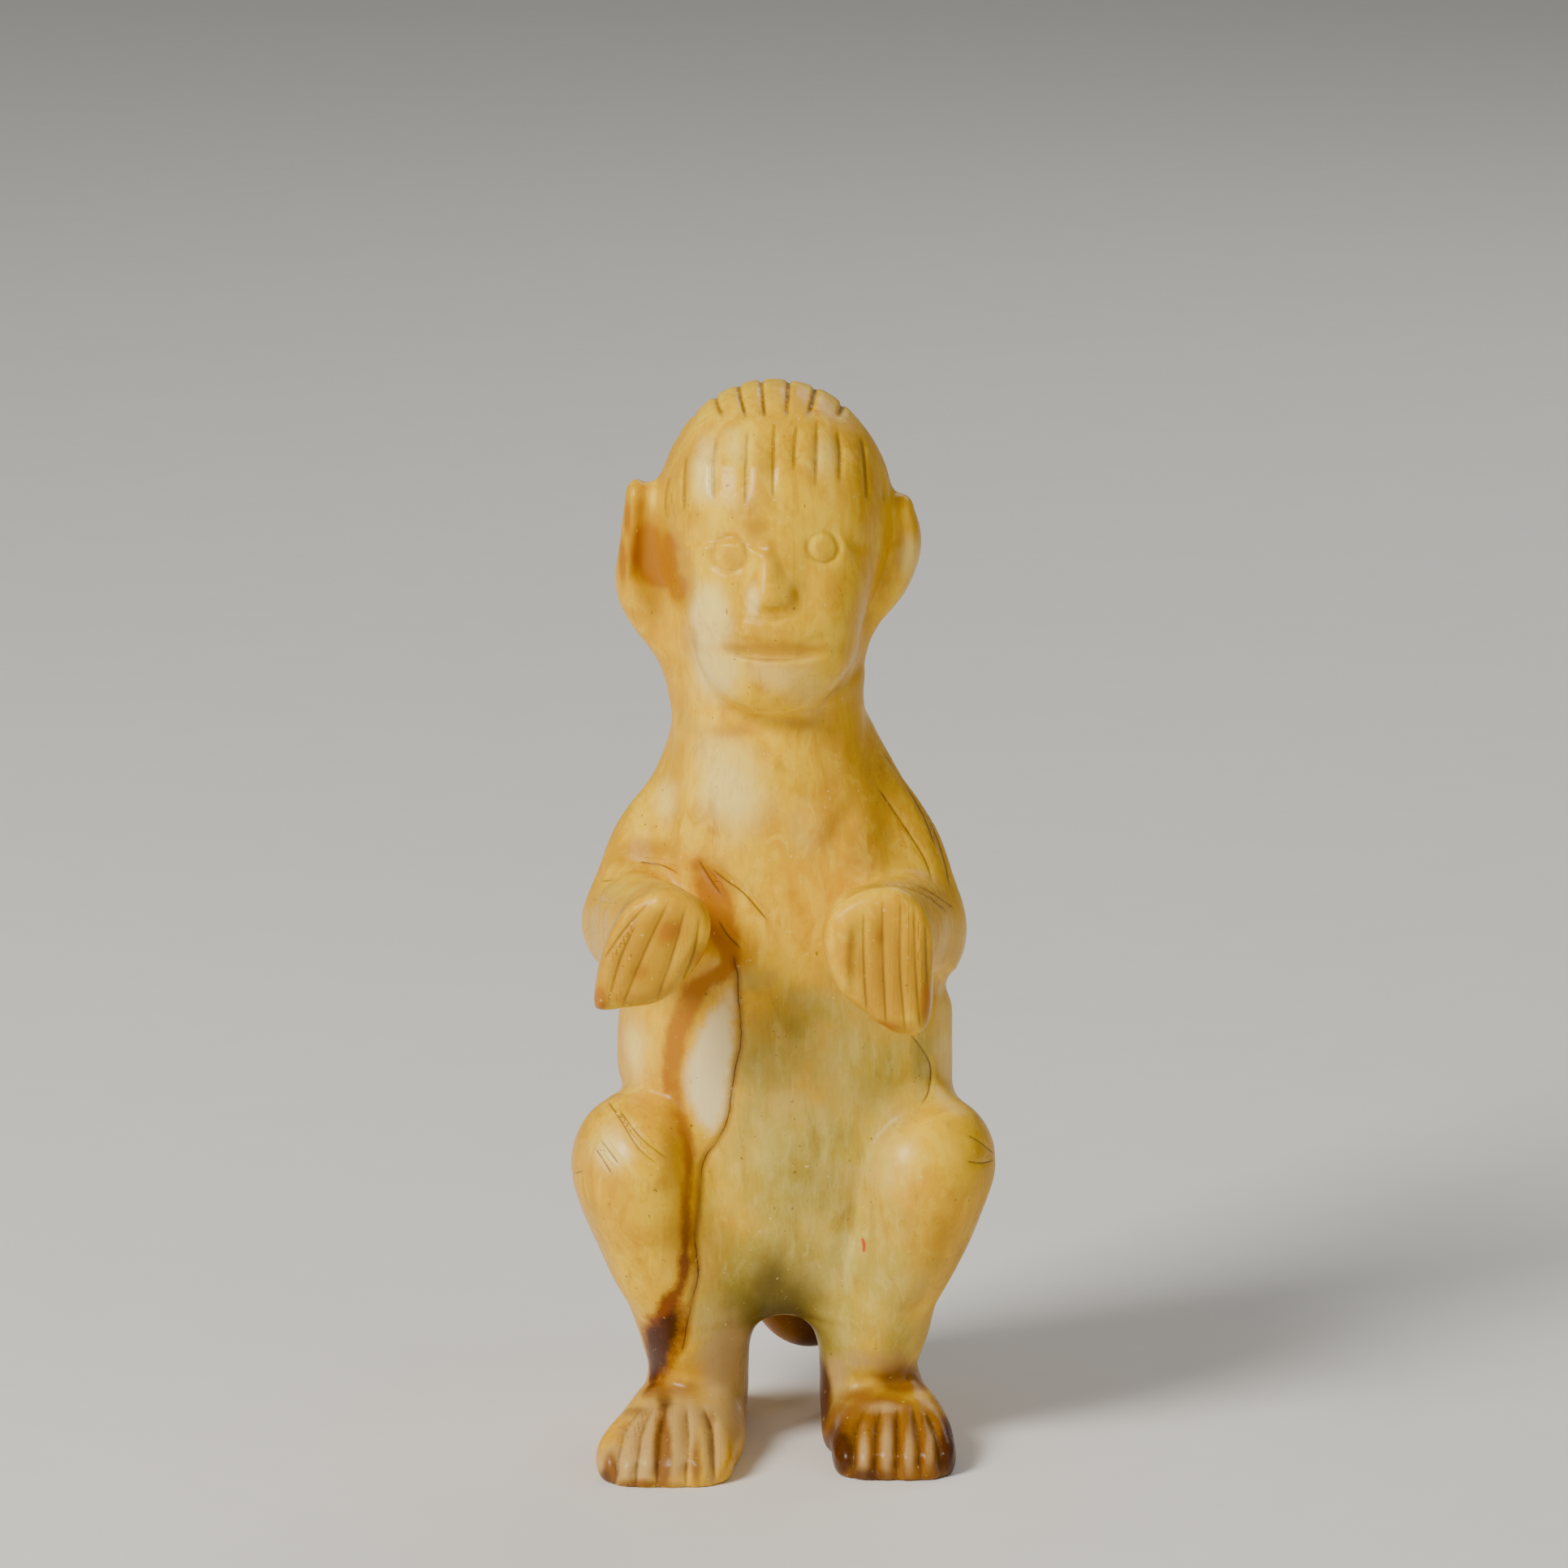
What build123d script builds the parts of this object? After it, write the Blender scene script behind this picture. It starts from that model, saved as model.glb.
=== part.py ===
from build123d import *
import math
import os

# A small monkey carved from one pebble of jade. It stands on its hind feet with bent knees and
# holds both forearms out with the paws hanging. It is one stone, so its regions are kept as
# separate solids that meet face to face, as the carver would have blocked them out.
# Lengths are in millimetres. +Z is up and the monkey faces -Y, so its own left side is on +X.
# Every place is measured from the floor and from the upright line through the middle of the trunk.

RIGHT = -1
LEFT = 1
SIDES = {RIGHT: "right", LEFT: "left"}

# Trunk, from the arch between the legs up to the neck
arch_height = 9.2
trunk_height = 45.0
trunk_half_width = 11.8
trunk_front = 7.6
trunk_back = 11.6
neck_shift = 1.1
# Each ring: height, half width, front, back, and how much of the neck's shift it takes
trunk_ring_shares = (
    (0.00, 0.52, 0.40, 0.62, 0.0),
    (0.05, 0.74, 0.66, 0.84, 0.0),
    (0.17, 0.93, 0.90, 1.00, 0.0),
    (0.33, 1.00, 1.00, 1.00, 0.0),
    (0.50, 0.99, 0.97, 0.95, 0.1),
    (0.66, 0.90, 0.90, 0.88, 0.3),
    (0.78, 0.80, 0.82, 0.81, 0.55),
    (0.87, 0.69, 0.76, 0.74, 0.8),
    (0.94, 0.60, 0.68, 0.67, 0.95),
    (1.00, 0.57, 0.60, 0.62, 1.0),
)

# Rump, a broad seat behind the thighs
rump_half_width = 10.2
rump_half_depth = 7.6
rump_half_height = 6.8
rump_behind = 6.2
rump_height = 17.2

# Tail, which drops from the rump and curls round to the monkey's left
tail_root_radius = 2.0
tail_tip_radius = 1.2
tail_drop = 10.6
tail_curl_radius = 2.6
tail_curl_tightening_share = 0.25
tail_behind = 13.4
tail_root_inset = 3.4
tail_root_side = 0.0
tail_curl_side = 2.2
tail_curl_start_degrees = 0
tail_curl_degrees = 230
tail_curl_steps = 6

# Head: cranium, nape and a flat face that stands forward of it
skull_rise = 11.4
skull_half_width = 8.3
skull_half_depth = 8.7
skull_half_height = 9.6
skull_behind = 0.5
skull_shift = 0.6
nape_height = 9.0
nape_half_width = 7.5
nape_front = 4.8
nape_back = 7.8
nape_top_share = 0.9
face_height = 14.6
face_half_width = 6.7
face_front = 8.9
face_back = 2.0
chin_drop = 0.9
# Each ring of the face: height, half width and front
face_ring_shares = (
    (0.00, 0.30, 0.78),
    (0.05, 0.52, 0.86),
    (0.13, 0.70, 0.92),
    (0.25, 0.86, 0.98),
    (0.45, 0.96, 1.00),
    (0.70, 1.00, 0.96),
    (1.00, 0.92, 0.86),
)

# Nose, a narrow wedge that widens down to its base
nose_height = 4.2
nose_half_width = 1.9
nose_bridge_half_width = 0.7
nose_stand = 1.3
nose_above_chin = 7.4
nose_root_depth = 1.6

# Eyes, each a ring drilled with a small tube
eye_ring_radius = 1.2
eye_groove_radius = 0.3
eye_above_chin = 11.9
eyes_apart = 6.4
eye_front_share = 0.86
eye_turn_degrees = 22

# Mouth, a flat slot with a curved lower edge
mouth_half_width = 4.1
mouth_height = 1.2
mouth_depth = 0.7
mouth_above_chin = 5.5

# Hair, a straight fringe over the brow and grooves that fan out over the crown to the back
hair_groove_width = 0.5
hair_groove_depth = 0.35
fringe_pitch = 1.85
fringe_count = 8
crown_groove_degrees = (-66, -51, -36, -22, -9, 7, 22, 40, 56, 70)
crown_fan_rise = 2.4
nape_groove_count = 6
# Where each row starts and ends, as shares of the skull's half depth ahead of its middle
fringe_start_share = 0.93
fringe_end_share = 0.60
crown_start_share = 0.50
crown_end_share = -0.76
nape_start_share = -0.80
nape_end_share = -1.02

# Ears, upright flaps with a rim that runs down from the tip and ends on the neck behind the jaw
ear_rim_half_width = 1.5
ear_rim_half_depth = 2.4
ear_flap_half_width = 2.3
ear_flap_half_thickness = 1.5
ear_flap_height_share = 0.66
ear_flap_half_height_share = 0.36
ear_flap_out_share = 0.79
ear_behind = 0.5
ear_sizes = {
    RIGHT: {"height": 13.8, "stand": 10.05},
    LEFT: {"height": 12.6, "stand": 9.45},
}
# Each station of the rim: height, how far it stands out, its half width and its half depth
ear_rim_shares = {
    RIGHT: (
        (1.00, 0.95, 0.53, 0.54),
        (0.79, 0.985, 0.50, 0.62),
        (0.59, 1.00, 0.57, 0.62),
        (0.41, 0.87, 0.87, 0.67),
        (0.25, 0.70, 0.93, 0.83),
        (0.09, 0.57, 1.00, 1.00),
    ),
    LEFT: (
        (1.00, 0.95, 0.50, 0.54),
        (0.85, 1.00, 0.50, 0.62),
        (0.69, 0.95, 0.57, 0.62),
        (0.56, 0.80, 0.83, 0.67),
        (0.37, 0.62, 0.87, 0.83),
        (0.18, 0.52, 0.93, 1.00),
    ),
}

# Arms, from shoulders just under the neck down to the elbows and forward to the wrists
shoulder_drop = 6.6
shoulder_behind = 2.4
shoulder_radius = 2.8
upper_arm_drop = 11.4
arm_middle_share = 0.46
arm_middle_radius = 3.6
elbow_radius = 3.4
elbow_depth_radius = 3.9
forearm_root_ahead = 1.0
forearm_root_rise = 0.6
forearm_root_radius = 3.0
forearm_root_rise_radius = 4.1
wrist_ahead = 14.0
wrist_rise = 3.7
wrist_radius = 2.9
arm_places = {
    RIGHT: {"shoulder_out": 5.9, "arm_middle_out": 8.6, "elbow_out": 10.4, "wrist_out": 8.2},
    LEFT: {"shoulder_out": 4.8, "arm_middle_out": 7.6, "elbow_out": 9.2, "wrist_out": 5.4},
}

# Paws, thick mitts that hang from the wrists, domed in front, with the fingers grooved into them
paw_ahead = 1.4
paw_half_thickness = 2.3
paw_dome_share = 1.3
finger_groove_width = 0.35
finger_groove_depth = 0.4
# How far each paw's middle lies out from its wrist and below it, and its half sizes
paw_sizes = {
    RIGHT: {"out": 0.75, "drop": 1.1, "half_width": 3.98, "half_height": 4.2},
    LEFT: {"out": 0.9, "drop": 1.9, "half_width": 3.78, "half_height": 5.1},
}
# Each paw's edge: how far out and how far up from its middle
paw_outline_shares = {
    RIGHT: (
        (0.98, -0.76), (0.86, -1.00), (0.35, -0.96), (-0.15, -0.85), (-0.57, -0.50),
        (-0.89, -0.02), (-1.00, 0.40), (-0.86, 0.76), (-0.54, 0.95), (-0.08, 1.00),
        (0.37, 0.81), (0.67, 0.45), (0.87, -0.12),
    ),
    LEFT: (
        (-1.00, 0.40), (-0.81, 0.70), (-0.44, 0.89), (0.00, 1.00), (0.43, 0.97),
        (0.77, 0.77), (0.96, 0.40), (1.00, -0.16), (0.97, -0.60), (0.85, -0.92),
        (0.55, -1.00), (0.16, -0.91), (-0.21, -0.68), (-0.58, -0.43), (-0.87, -0.07),
    ),
}
# Each groove between two fingers, from its upper to its lower end
finger_groove_shares = {
    RIGHT: (
        ((0.05, 0.79), (0.90, -0.25)),
        ((-0.31, 0.87), (0.52, -1.00)),
        ((-0.59, 0.79), (-0.03, -0.95)),
        ((-0.81, 0.57), (-0.50, -0.60)),
    ),
    LEFT: (
        ((-0.24, 0.83), (-0.18, -0.76)),
        ((0.10, 0.90), (0.17, -0.98)),
        ((0.43, 0.90), (0.50, -1.05)),
        ((0.69, 0.80), (0.77, -1.00)),
    ),
}

# Legs
hip_height = 17.3
hip_out = 7.4
hip_behind = 4.6
hip_radius = 5.2
hip_rise_radius = 6.6
knee_rise = 3.6
knee_out = 10.15
knee_ahead = 4.6
knee_radius = 4.5
knee_rise_radius = 4.9
# Each station of the shin between knee and ankle: height, how far out, side radius and depth
calf_shares = (
    (0.72, 0.79, 0.96, 1.00),
    (0.47, 0.28, 0.90, 0.97),
    (0.24, 0.04, 0.88, 0.95),
)
ankle_height = 5.2
ankle_out = 6.0
ankle_ahead = 0.6
ankle_radius = 3.4
ankle_depth_radius = 4.2

# Feet, flat under, with five toes side by side
foot_height = 5.0
heel_out = 5.9
heel_radius = 3.3
heel_behind = 3.2
heel_length_radius = 4.2
heel_rise = 2.6
sole_sink = 0.35
instep_half_width = 3.9
instep_ahead = 3.6
instep_length_radius = 7.0
toe_count = 5
toe_radius = 1.15
toe_rise_radius = 1.8
toe_height = 1.75
toe_root_ahead = 4.6
toe_shortening = 1.4
toe_root_spread_share = 0.62
toe_pad_length_radius = 4.3
toe_pad_share = 0.62
toe_pad_height = 3.9
foot_places = {
    RIGHT: {"toes_out": 8.15, "toe_pitch": 1.85, "tip_ahead": 12.9},
    LEFT: {"toes_out": 7.65, "toe_pitch": 1.72, "tip_ahead": 11.4},
}

round_end_degrees = (35, 62, 80)

neck_height = arch_height + trunk_height
chin_height = neck_height - chin_drop
shoulder_height = neck_height - shoulder_drop
elbow_height = shoulder_height - upper_arm_drop
wrist_height = elbow_height + wrist_rise
knee_height = hip_height + knee_rise
skull_centre = (-skull_shift, skull_behind, neck_height + skull_rise)
skull_radii = (skull_half_width, skull_half_depth, skull_half_height)
overrun = 2 * trunk_half_width


def flat_ring(centre_x, front, back, half_width, height):
    """A level ellipse that reaches front before the upright line and back behind it."""
    middle = (back - front) / 2
    return Pos(centre_x, middle, height) * Ellipse(half_width, (front + back) / 2)


def egg(centre, radii):
    """An egg-shaped solid with its three half sizes along X, Y and Z."""
    return Pos(*centre) * scale(Sphere(1), by=tuple(radii))


def limb(stations):
    """A round-ended limb through stations, each a point, its side radius and its other radius."""
    points = [Vector(*station[0]) for station in stations]
    radii = [station[1:] for station in stations]
    tangents = []
    for index, point in enumerate(points):
        before = points[max(index - 1, 0)]
        after = points[min(index + 1, len(points) - 1)]
        tangents.append((after - before).normalized())

    rings = []
    for degrees in reversed(round_end_degrees):
        rings.append(end_ring(points[0], -tangents[0], radii[0], degrees, tangents[0]))
    for point, tangent, radius in zip(points, tangents, radii):
        rings.append(square_ring(point, tangent, radius))
    for degrees in round_end_degrees:
        rings.append(end_ring(points[-1], tangents[-1], radii[-1], degrees, tangents[-1]))
    return loft(rings)


def square_ring(point, tangent, radii):
    """An ellipse square to the limb's line, its first radius as near sideways as it can be."""
    across = Vector(1, 0, 0)
    across = (across - tangent * across.dot(tangent)).normalized()
    return Plane(origin=point, x_dir=across, z_dir=tangent) * Ellipse(*radii)


def end_ring(point, outwards, radii, degrees, tangent):
    """One of the shrinking rings that round off a limb's end."""
    reach = min(radii) * math.sin(math.radians(degrees))
    shrink = math.cos(math.radians(degrees))
    return square_ring(point + outwards * reach, tangent, [radius * shrink for radius in radii])


def largest(shape):
    """The main solid of a shape, without slivers that a cut leaves on its far side."""
    return shape.solids().sort_by(SortBy.VOLUME)[-1]


def cut_by(piece, *larger):
    """The piece with the space of its larger neighbours taken out."""
    for neighbour in larger:
        piece = piece - neighbour
    return largest(piece)


def make_trunk():
    rings = []
    for height, half_width, front, back, shift in trunk_ring_shares:
        rings.append(flat_ring(
            -neck_shift * shift,
            trunk_front * front,
            trunk_back * back,
            trunk_half_width * half_width,
            arch_height + trunk_height * height,
        ))
    return largest(loft(rings))


def make_rump():
    return egg(
        (0, rump_behind, rump_height),
        (rump_half_width, rump_half_depth, rump_half_height),
    )


def make_tail():
    """A drop from the rump, then most of a turn in an upright plane, thinning to the tip."""
    curl_height = rump_height - tail_drop
    stations = [(
        (tail_root_side, tail_behind - tail_root_inset, rump_height - tail_root_radius),
        tail_root_radius,
        tail_root_radius,
    )]
    for step in range(tail_curl_steps + 1):
        share = step / tail_curl_steps
        turn = math.radians(tail_curl_start_degrees + tail_curl_degrees * share)
        swing = tail_curl_radius * (1 - tail_curl_tightening_share * share)
        thickness = tail_root_radius + (tail_tip_radius - tail_root_radius) * share
        stations.append((
            (
                tail_curl_side - swing * math.cos(turn),
                tail_behind,
                curl_height - swing * math.sin(turn),
            ),
            thickness,
            thickness,
        ))
    return limb(stations)


def make_head():
    _, half_width, front, back, _ = trunk_ring_shares[-1]
    neck_ring = (trunk_front * front, trunk_back * back, trunk_half_width * half_width)
    nape_ring = (nape_front, nape_back, nape_half_width)
    nape = loft([
        flat_ring(-neck_shift, *neck_ring, neck_height),
        flat_ring(-skull_shift, *nape_ring, neck_height + nape_height / 2),
        flat_ring(
            -skull_shift,
            *[size * nape_top_share for size in nape_ring],
            neck_height + nape_height,
        ),
    ])

    face_rings = []
    for height, width, front in face_ring_shares:
        face_rings.append(flat_ring(
            -skull_shift,
            face_front * front,
            face_back,
            face_half_width * width,
            chin_height + face_height * height,
        ))

    head = egg(skull_centre, skull_radii) + nape + loft(face_rings) + make_nose()
    return head - make_eyes() - make_mouth() - make_hair()


def make_nose():
    base = chin_height + nose_above_chin
    root = -face_front + nose_root_depth
    foot = Pos(-skull_shift, root, base) * Ellipse(nose_half_width, nose_root_depth + nose_stand)
    top = Pos(-skull_shift, root, base + nose_height) * Ellipse(nose_bridge_half_width, nose_root_depth)
    return loft([foot, top])


def make_eyes():
    """The two rings, each cut round a small raised disc by a tube drill."""
    ring = Rot(X=90) * Torus(eye_ring_radius, eye_groove_radius)
    eyes = []
    for side in SIDES:
        place = Pos(
            -skull_shift + side * eyes_apart / 2,
            -face_front * eye_front_share,
            chin_height + eye_above_chin,
        )
        eyes.append(place * Rot(Z=side * eye_turn_degrees) * ring)
    return eyes[0] + eyes[1]


def make_mouth():
    """A shallow slot with a flat upper edge and a bowed lower one."""
    upper = Pos(-skull_shift, 0, chin_height + mouth_above_chin)
    bow = upper * egg(
        (0, -face_front, 0),
        (mouth_half_width, mouth_depth, mouth_height),
    )
    below = upper * Box(overrun, 2 * overrun, overrun, align=(Align.CENTER, Align.CENTER, Align.MAX))
    return bow & below


def make_hair():
    """Combed grooves, cut to one depth under the crown's surface."""
    around = [radius + hair_groove_depth for radius in skull_radii]
    within = [radius - hair_groove_depth for radius in skull_radii]
    skin = egg(skull_centre, around) - egg(skull_centre, within)
    cutters = make_straight_grooves(fringe_count, fringe_start_share, fringe_end_share)
    cutters += make_straight_grooves(nape_groove_count, nape_start_share, nape_end_share)
    pivot = Pos(skull_centre[0], skull_centre[1], skull_centre[2] + crown_fan_rise)
    for degrees in crown_groove_degrees:
        cutters.append(pivot * Rot(Y=degrees) * make_groove_box(crown_start_share, crown_end_share))
    return skin & (Part() + cutters)


def make_straight_grooves(count, start_share, end_share):
    """Cutters side by side, each standing on the level of the skull's middle."""
    box = make_groove_box(start_share, end_share)
    sides = [(index - (count - 1) / 2) * fringe_pitch for index in range(count)]
    return [Pos(*skull_centre) * Pos(side, 0, 0) * box for side in sides]


def make_groove_box(start_share, end_share):
    """A cutter for one groove between two distances ahead of the skull's middle."""
    start = -skull_half_depth * start_share
    end = -skull_half_depth * end_share
    return Pos(0, (start + end) / 2, 0) * Box(
        hair_groove_width,
        end - start,
        overrun,
        align=(Align.CENTER, Align.CENTER, Align.MIN),
    )


def make_ear(side):
    """A thin flap behind a rounded rim."""
    sizes = ear_sizes[side]
    stations = []
    for height, out, width, depth in ear_rim_shares[side]:
        stations.append((
            (
                -skull_shift + side * sizes["stand"] * out,
                ear_behind * (1 - height),
                chin_height + sizes["height"] * height,
            ),
            ear_rim_half_width * width,
            ear_rim_half_depth * depth,
        ))
    flap_centre = (
        -skull_shift + side * sizes["stand"] * ear_flap_out_share,
        ear_behind,
        chin_height + sizes["height"] * ear_flap_height_share,
    )
    flap_radii = (
        ear_flap_half_width,
        ear_flap_half_thickness,
        sizes["height"] * ear_flap_half_height_share,
    )
    return egg(flap_centre, flap_radii) + limb(stations)


def make_upper_arm(side):
    places = arm_places[side]
    return limb([
        (
            (side * places["shoulder_out"], shoulder_behind, shoulder_height),
            shoulder_radius,
            shoulder_radius,
        ),
        (
            (
                side * places["arm_middle_out"],
                shoulder_behind / 2,
                shoulder_height - upper_arm_drop * arm_middle_share,
            ),
            arm_middle_radius,
            arm_middle_radius,
        ),
        ((side * places["elbow_out"], 0, elbow_height), elbow_radius, elbow_depth_radius),
    ])


def make_forearm(side):
    places = arm_places[side]
    halfway_out = (places["elbow_out"] + places["wrist_out"]) / 2
    return limb([
        (
            (side * places["elbow_out"], -forearm_root_ahead, elbow_height + forearm_root_rise),
            forearm_root_radius,
            forearm_root_rise_radius,
        ),
        (
            (side * halfway_out, -wrist_ahead / 2, (elbow_height + forearm_root_rise + wrist_height) / 2),
            (forearm_root_radius + wrist_radius) / 2,
            (forearm_root_rise_radius + wrist_radius) / 2,
        ),
        ((side * places["wrist_out"], -wrist_ahead, wrist_height), wrist_radius, wrist_radius),
    ])


def make_paw(side):
    """A slab inside the paw's edge, domed in front and behind, with its fingers grooved in."""
    sizes = paw_sizes[side]
    half_width, half_height = sizes["half_width"], sizes["half_height"]
    centre = (
        side * (arm_places[side]["wrist_out"] + sizes["out"]),
        -wrist_ahead - paw_ahead,
        wrist_height - sizes["drop"],
    )
    facing = Plane(origin=centre, x_dir=(1, 0, 0), z_dir=(0, -1, 0))
    edge = [(side * out * half_width, up * half_height) for out, up in paw_outline_shares[side]]
    slab = extrude(facing * make_face(Spline(*edge, periodic=True)), paw_half_thickness, both=True)
    dome_radii = (half_width * paw_dome_share, paw_half_thickness, half_height * paw_dome_share)

    grooves = []
    for upper, lower in finger_groove_shares[side]:
        start = Vector(side * upper[0] * half_width, upper[1] * half_height)
        end = Vector(side * lower[0] * half_width, lower[1] * half_height)
        lean = math.degrees(math.atan2(start.X - end.X, start.Y - end.Y))
        groove = Rectangle(finger_groove_width, (start - end).length)
        middle = (start + end) / 2
        grooves.append(extrude(facing * Pos(middle.X, middle.Y) * Rot(Z=-lean) * groove, overrun))
    floor_radii = [radius - finger_groove_depth for radius in dome_radii]
    cutter = (Part() + grooves) - egg(centre, floor_radii)
    return (slab & egg(centre, dome_radii)) - cutter


def make_thigh(side):
    return limb([
        ((side * hip_out, hip_behind, hip_height), hip_radius, hip_rise_radius),
        (
            (side * (hip_out + knee_out) / 2, (hip_behind - knee_ahead) / 2, (hip_height + knee_height) / 2),
            (hip_radius + knee_radius) / 2,
            (hip_rise_radius + knee_rise_radius) / 2,
        ),
        ((side * knee_out, -knee_ahead, knee_height), knee_radius, knee_rise_radius),
    ])


def make_shin(side):
    """From the knee it leans in to the ankle, thinning on the way."""
    stations = [((side * knee_out, -knee_ahead, knee_height), knee_radius, knee_radius)]
    for height, out, width, depth in calf_shares:
        stations.append((
            (
                side * (ankle_out + (knee_out - ankle_out) * out),
                -ankle_ahead - (knee_ahead - ankle_ahead) * height,
                ankle_height + (knee_height - ankle_height) * height,
            ),
            knee_radius * width,
            knee_rise_radius * depth,
        ))
    stations.append((
        (side * ankle_out, -ankle_ahead, ankle_height), ankle_radius, ankle_depth_radius
    ))
    return limb(stations)


def make_foot(side):
    """A heel, an instep and a fan of toes, cut flat where they stand."""
    places = foot_places[side]
    foot = egg((side * heel_out, heel_behind, heel_rise), (heel_radius, heel_length_radius, heel_rise))
    instep_out = (heel_out + places["toes_out"]) / 2
    foot = foot + egg(
        (side * instep_out, -instep_ahead, foot_height / 2),
        (instep_half_width, instep_length_radius, foot_height / 2 + sole_sink),
    )
    middle = (toe_count - 1) / 2
    foot = foot + egg(
        (side * places["toes_out"], -places["tip_ahead"] * toe_pad_share, toe_height - sole_sink),
        (places["toe_pitch"] * middle + toe_radius, toe_pad_length_radius, toe_pad_height / 2),
    )
    for index in range(toe_count):
        step = index - middle
        shortness = toe_shortening * (step / middle) ** 2
        root = (
            side * places["toes_out"] + step * places["toe_pitch"] * toe_root_spread_share,
            -toe_root_ahead,
            toe_height,
        )
        tip = (
            side * places["toes_out"] + step * places["toe_pitch"],
            -places["tip_ahead"] + toe_radius + shortness,
            toe_height - sole_sink,
        )
        between = [(a + b) / 2 for a, b in zip(root, tip)]
        foot = foot + limb([
            (root, toe_radius, toe_rise_radius),
            (between, toe_radius, toe_rise_radius),
            (tip, toe_radius, toe_rise_radius),
        ])
    floor = Box(2 * overrun, 2 * overrun, overrun, align=(Align.CENTER, Align.CENTER, Align.MAX))
    return largest(foot - floor)


trunk = make_trunk()
nodes = {"torso": trunk}
nodes["head"] = cut_by(make_head(), trunk)
nodes["rump"] = cut_by(make_rump(), trunk)
for side, name in SIDES.items():
    thigh = cut_by(make_thigh(side), trunk, nodes["rump"])
    foot = make_foot(side)
    shin = cut_by(make_shin(side), trunk, nodes["rump"], thigh, foot)
    upper_arm = cut_by(make_upper_arm(side), trunk, nodes["head"])
    forearm = cut_by(make_forearm(side), trunk, upper_arm)
    nodes[name + "_ear"] = cut_by(make_ear(side), nodes["head"], trunk)
    nodes[name + "_upper_arm"] = upper_arm
    nodes[name + "_forearm"] = forearm
    nodes[name + "_paw"] = cut_by(make_paw(side), forearm)
    nodes[name + "_thigh"] = thigh
    nodes[name + "_shin"] = shin
    nodes[name + "_foot"] = foot
nodes["tail"] = cut_by(make_tail(), nodes["rump"], trunk, nodes["left_foot"], nodes["left_shin"])

bounds = Compound(list(nodes.values())).bounding_box()
to_origin = Pos(-bounds.center().X, -bounds.center().Y, -bounds.min.Z)
os.makedirs("parts", exist_ok=True)
for name, solid in nodes.items():
    export_step(to_origin * solid, "parts/" + name + ".step")
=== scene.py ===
import math
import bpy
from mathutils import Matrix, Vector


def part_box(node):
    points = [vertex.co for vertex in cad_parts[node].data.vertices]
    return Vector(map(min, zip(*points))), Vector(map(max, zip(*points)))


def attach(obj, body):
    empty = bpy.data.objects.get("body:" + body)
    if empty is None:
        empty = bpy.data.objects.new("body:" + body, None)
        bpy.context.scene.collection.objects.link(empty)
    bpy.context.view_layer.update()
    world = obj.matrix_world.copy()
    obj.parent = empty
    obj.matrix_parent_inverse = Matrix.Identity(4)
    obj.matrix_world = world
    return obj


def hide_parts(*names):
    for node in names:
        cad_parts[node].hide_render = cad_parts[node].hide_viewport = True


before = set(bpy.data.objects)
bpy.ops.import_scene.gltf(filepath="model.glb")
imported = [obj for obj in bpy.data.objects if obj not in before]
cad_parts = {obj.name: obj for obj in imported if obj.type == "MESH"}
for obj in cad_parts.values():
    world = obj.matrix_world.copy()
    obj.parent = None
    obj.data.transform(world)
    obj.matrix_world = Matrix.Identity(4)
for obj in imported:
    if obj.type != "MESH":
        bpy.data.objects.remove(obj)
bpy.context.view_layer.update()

from concurrent.futures import ThreadPoolExecutor

import bpy
import numpy as np
import openvdb
from mathutils import Vector

# One carved jade monkey. The stone is shaped as a signed distance, form by form, as a carver rounds
# one form into the next, and the surface where that distance is zero becomes one closed mesh.
# The shaping is done in millimetres: X to the viewer's right, Y away from the viewer and Z up,
# from the floor under the middle of the trunk. The frame's own boxes place and scale it.

MM = 0.001
torso_low, torso_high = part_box("torso")
head_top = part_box("head")[1].z

CARVED_HEIGHT = 75.2
TRUNK_FRONT = 7.6
FIT = head_top / (CARVED_HEIGHT * MM)
ORIGIN = np.array([(torso_low.x + torso_high.x) / 2, torso_low.y + TRUNK_FRONT * FIT * MM, 0.0])

RIGHT = -1
LEFT = 1
X, Y, Z = range(3)

# The photograph: a square seen from a little above, in front. Lines on the stone are drawn in its
# pixels, across and down, and reach the stone along the line of sight.
PHOTO_PIXELS = 1932
PHOTO_MIDDLE = PHOTO_PIXELS / 2
PIXELS_PER_MM = 17.75
CAMERA_ELEVATION = math.radians(12.0)
CAMERA_DISTANCE = 550.0
CAMERA_AIM = np.array([0.06, 0.0, 46.9])

# Grids that catch the stone: a coarse one finds the surface and a fine one samples it
COARSE_PITCH = 1.2
COARSE_CATCH = 1.3 * COARSE_PITCH
FINE_STEPS = 5
FINE_PITCH = COARSE_PITCH / FINE_STEPS
GRID_LOW = np.array([-17.0, -22.0, -2.4])
GRID_HIGH = np.array([17.0, 20.0, 78.0])
WORKERS = 4
CHUNK = 60000

# Distances from the surface: nothing is measured past FAR, and lines are cut only within SKIN of it
FAR = 6.0
SKIN = 1.5
HUGE = 1e9
TINY = 1e-9


def soft_min(a, b, blend):
    """The nearer of two distances, rounded together over the blend's width."""
    overlap = np.maximum(blend - np.abs(a - b), 0.0) / blend
    return np.minimum(a, b) - overlap * overlap * blend / 4


def ease(value, low, high):
    """Zero below low, one above high and smooth between them."""
    share = np.clip((value - low) / (high - low), 0, 1)
    return share * share * (3 - 2 * share)


def faded(points, fades):
    """One where every fade is full. A fade has its axis, where it starts and where it is full."""
    shown = np.ones(len(points))
    for axis, start, end in fades:
        shown *= ease(points[:, axis], start, end)
    return shown


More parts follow.
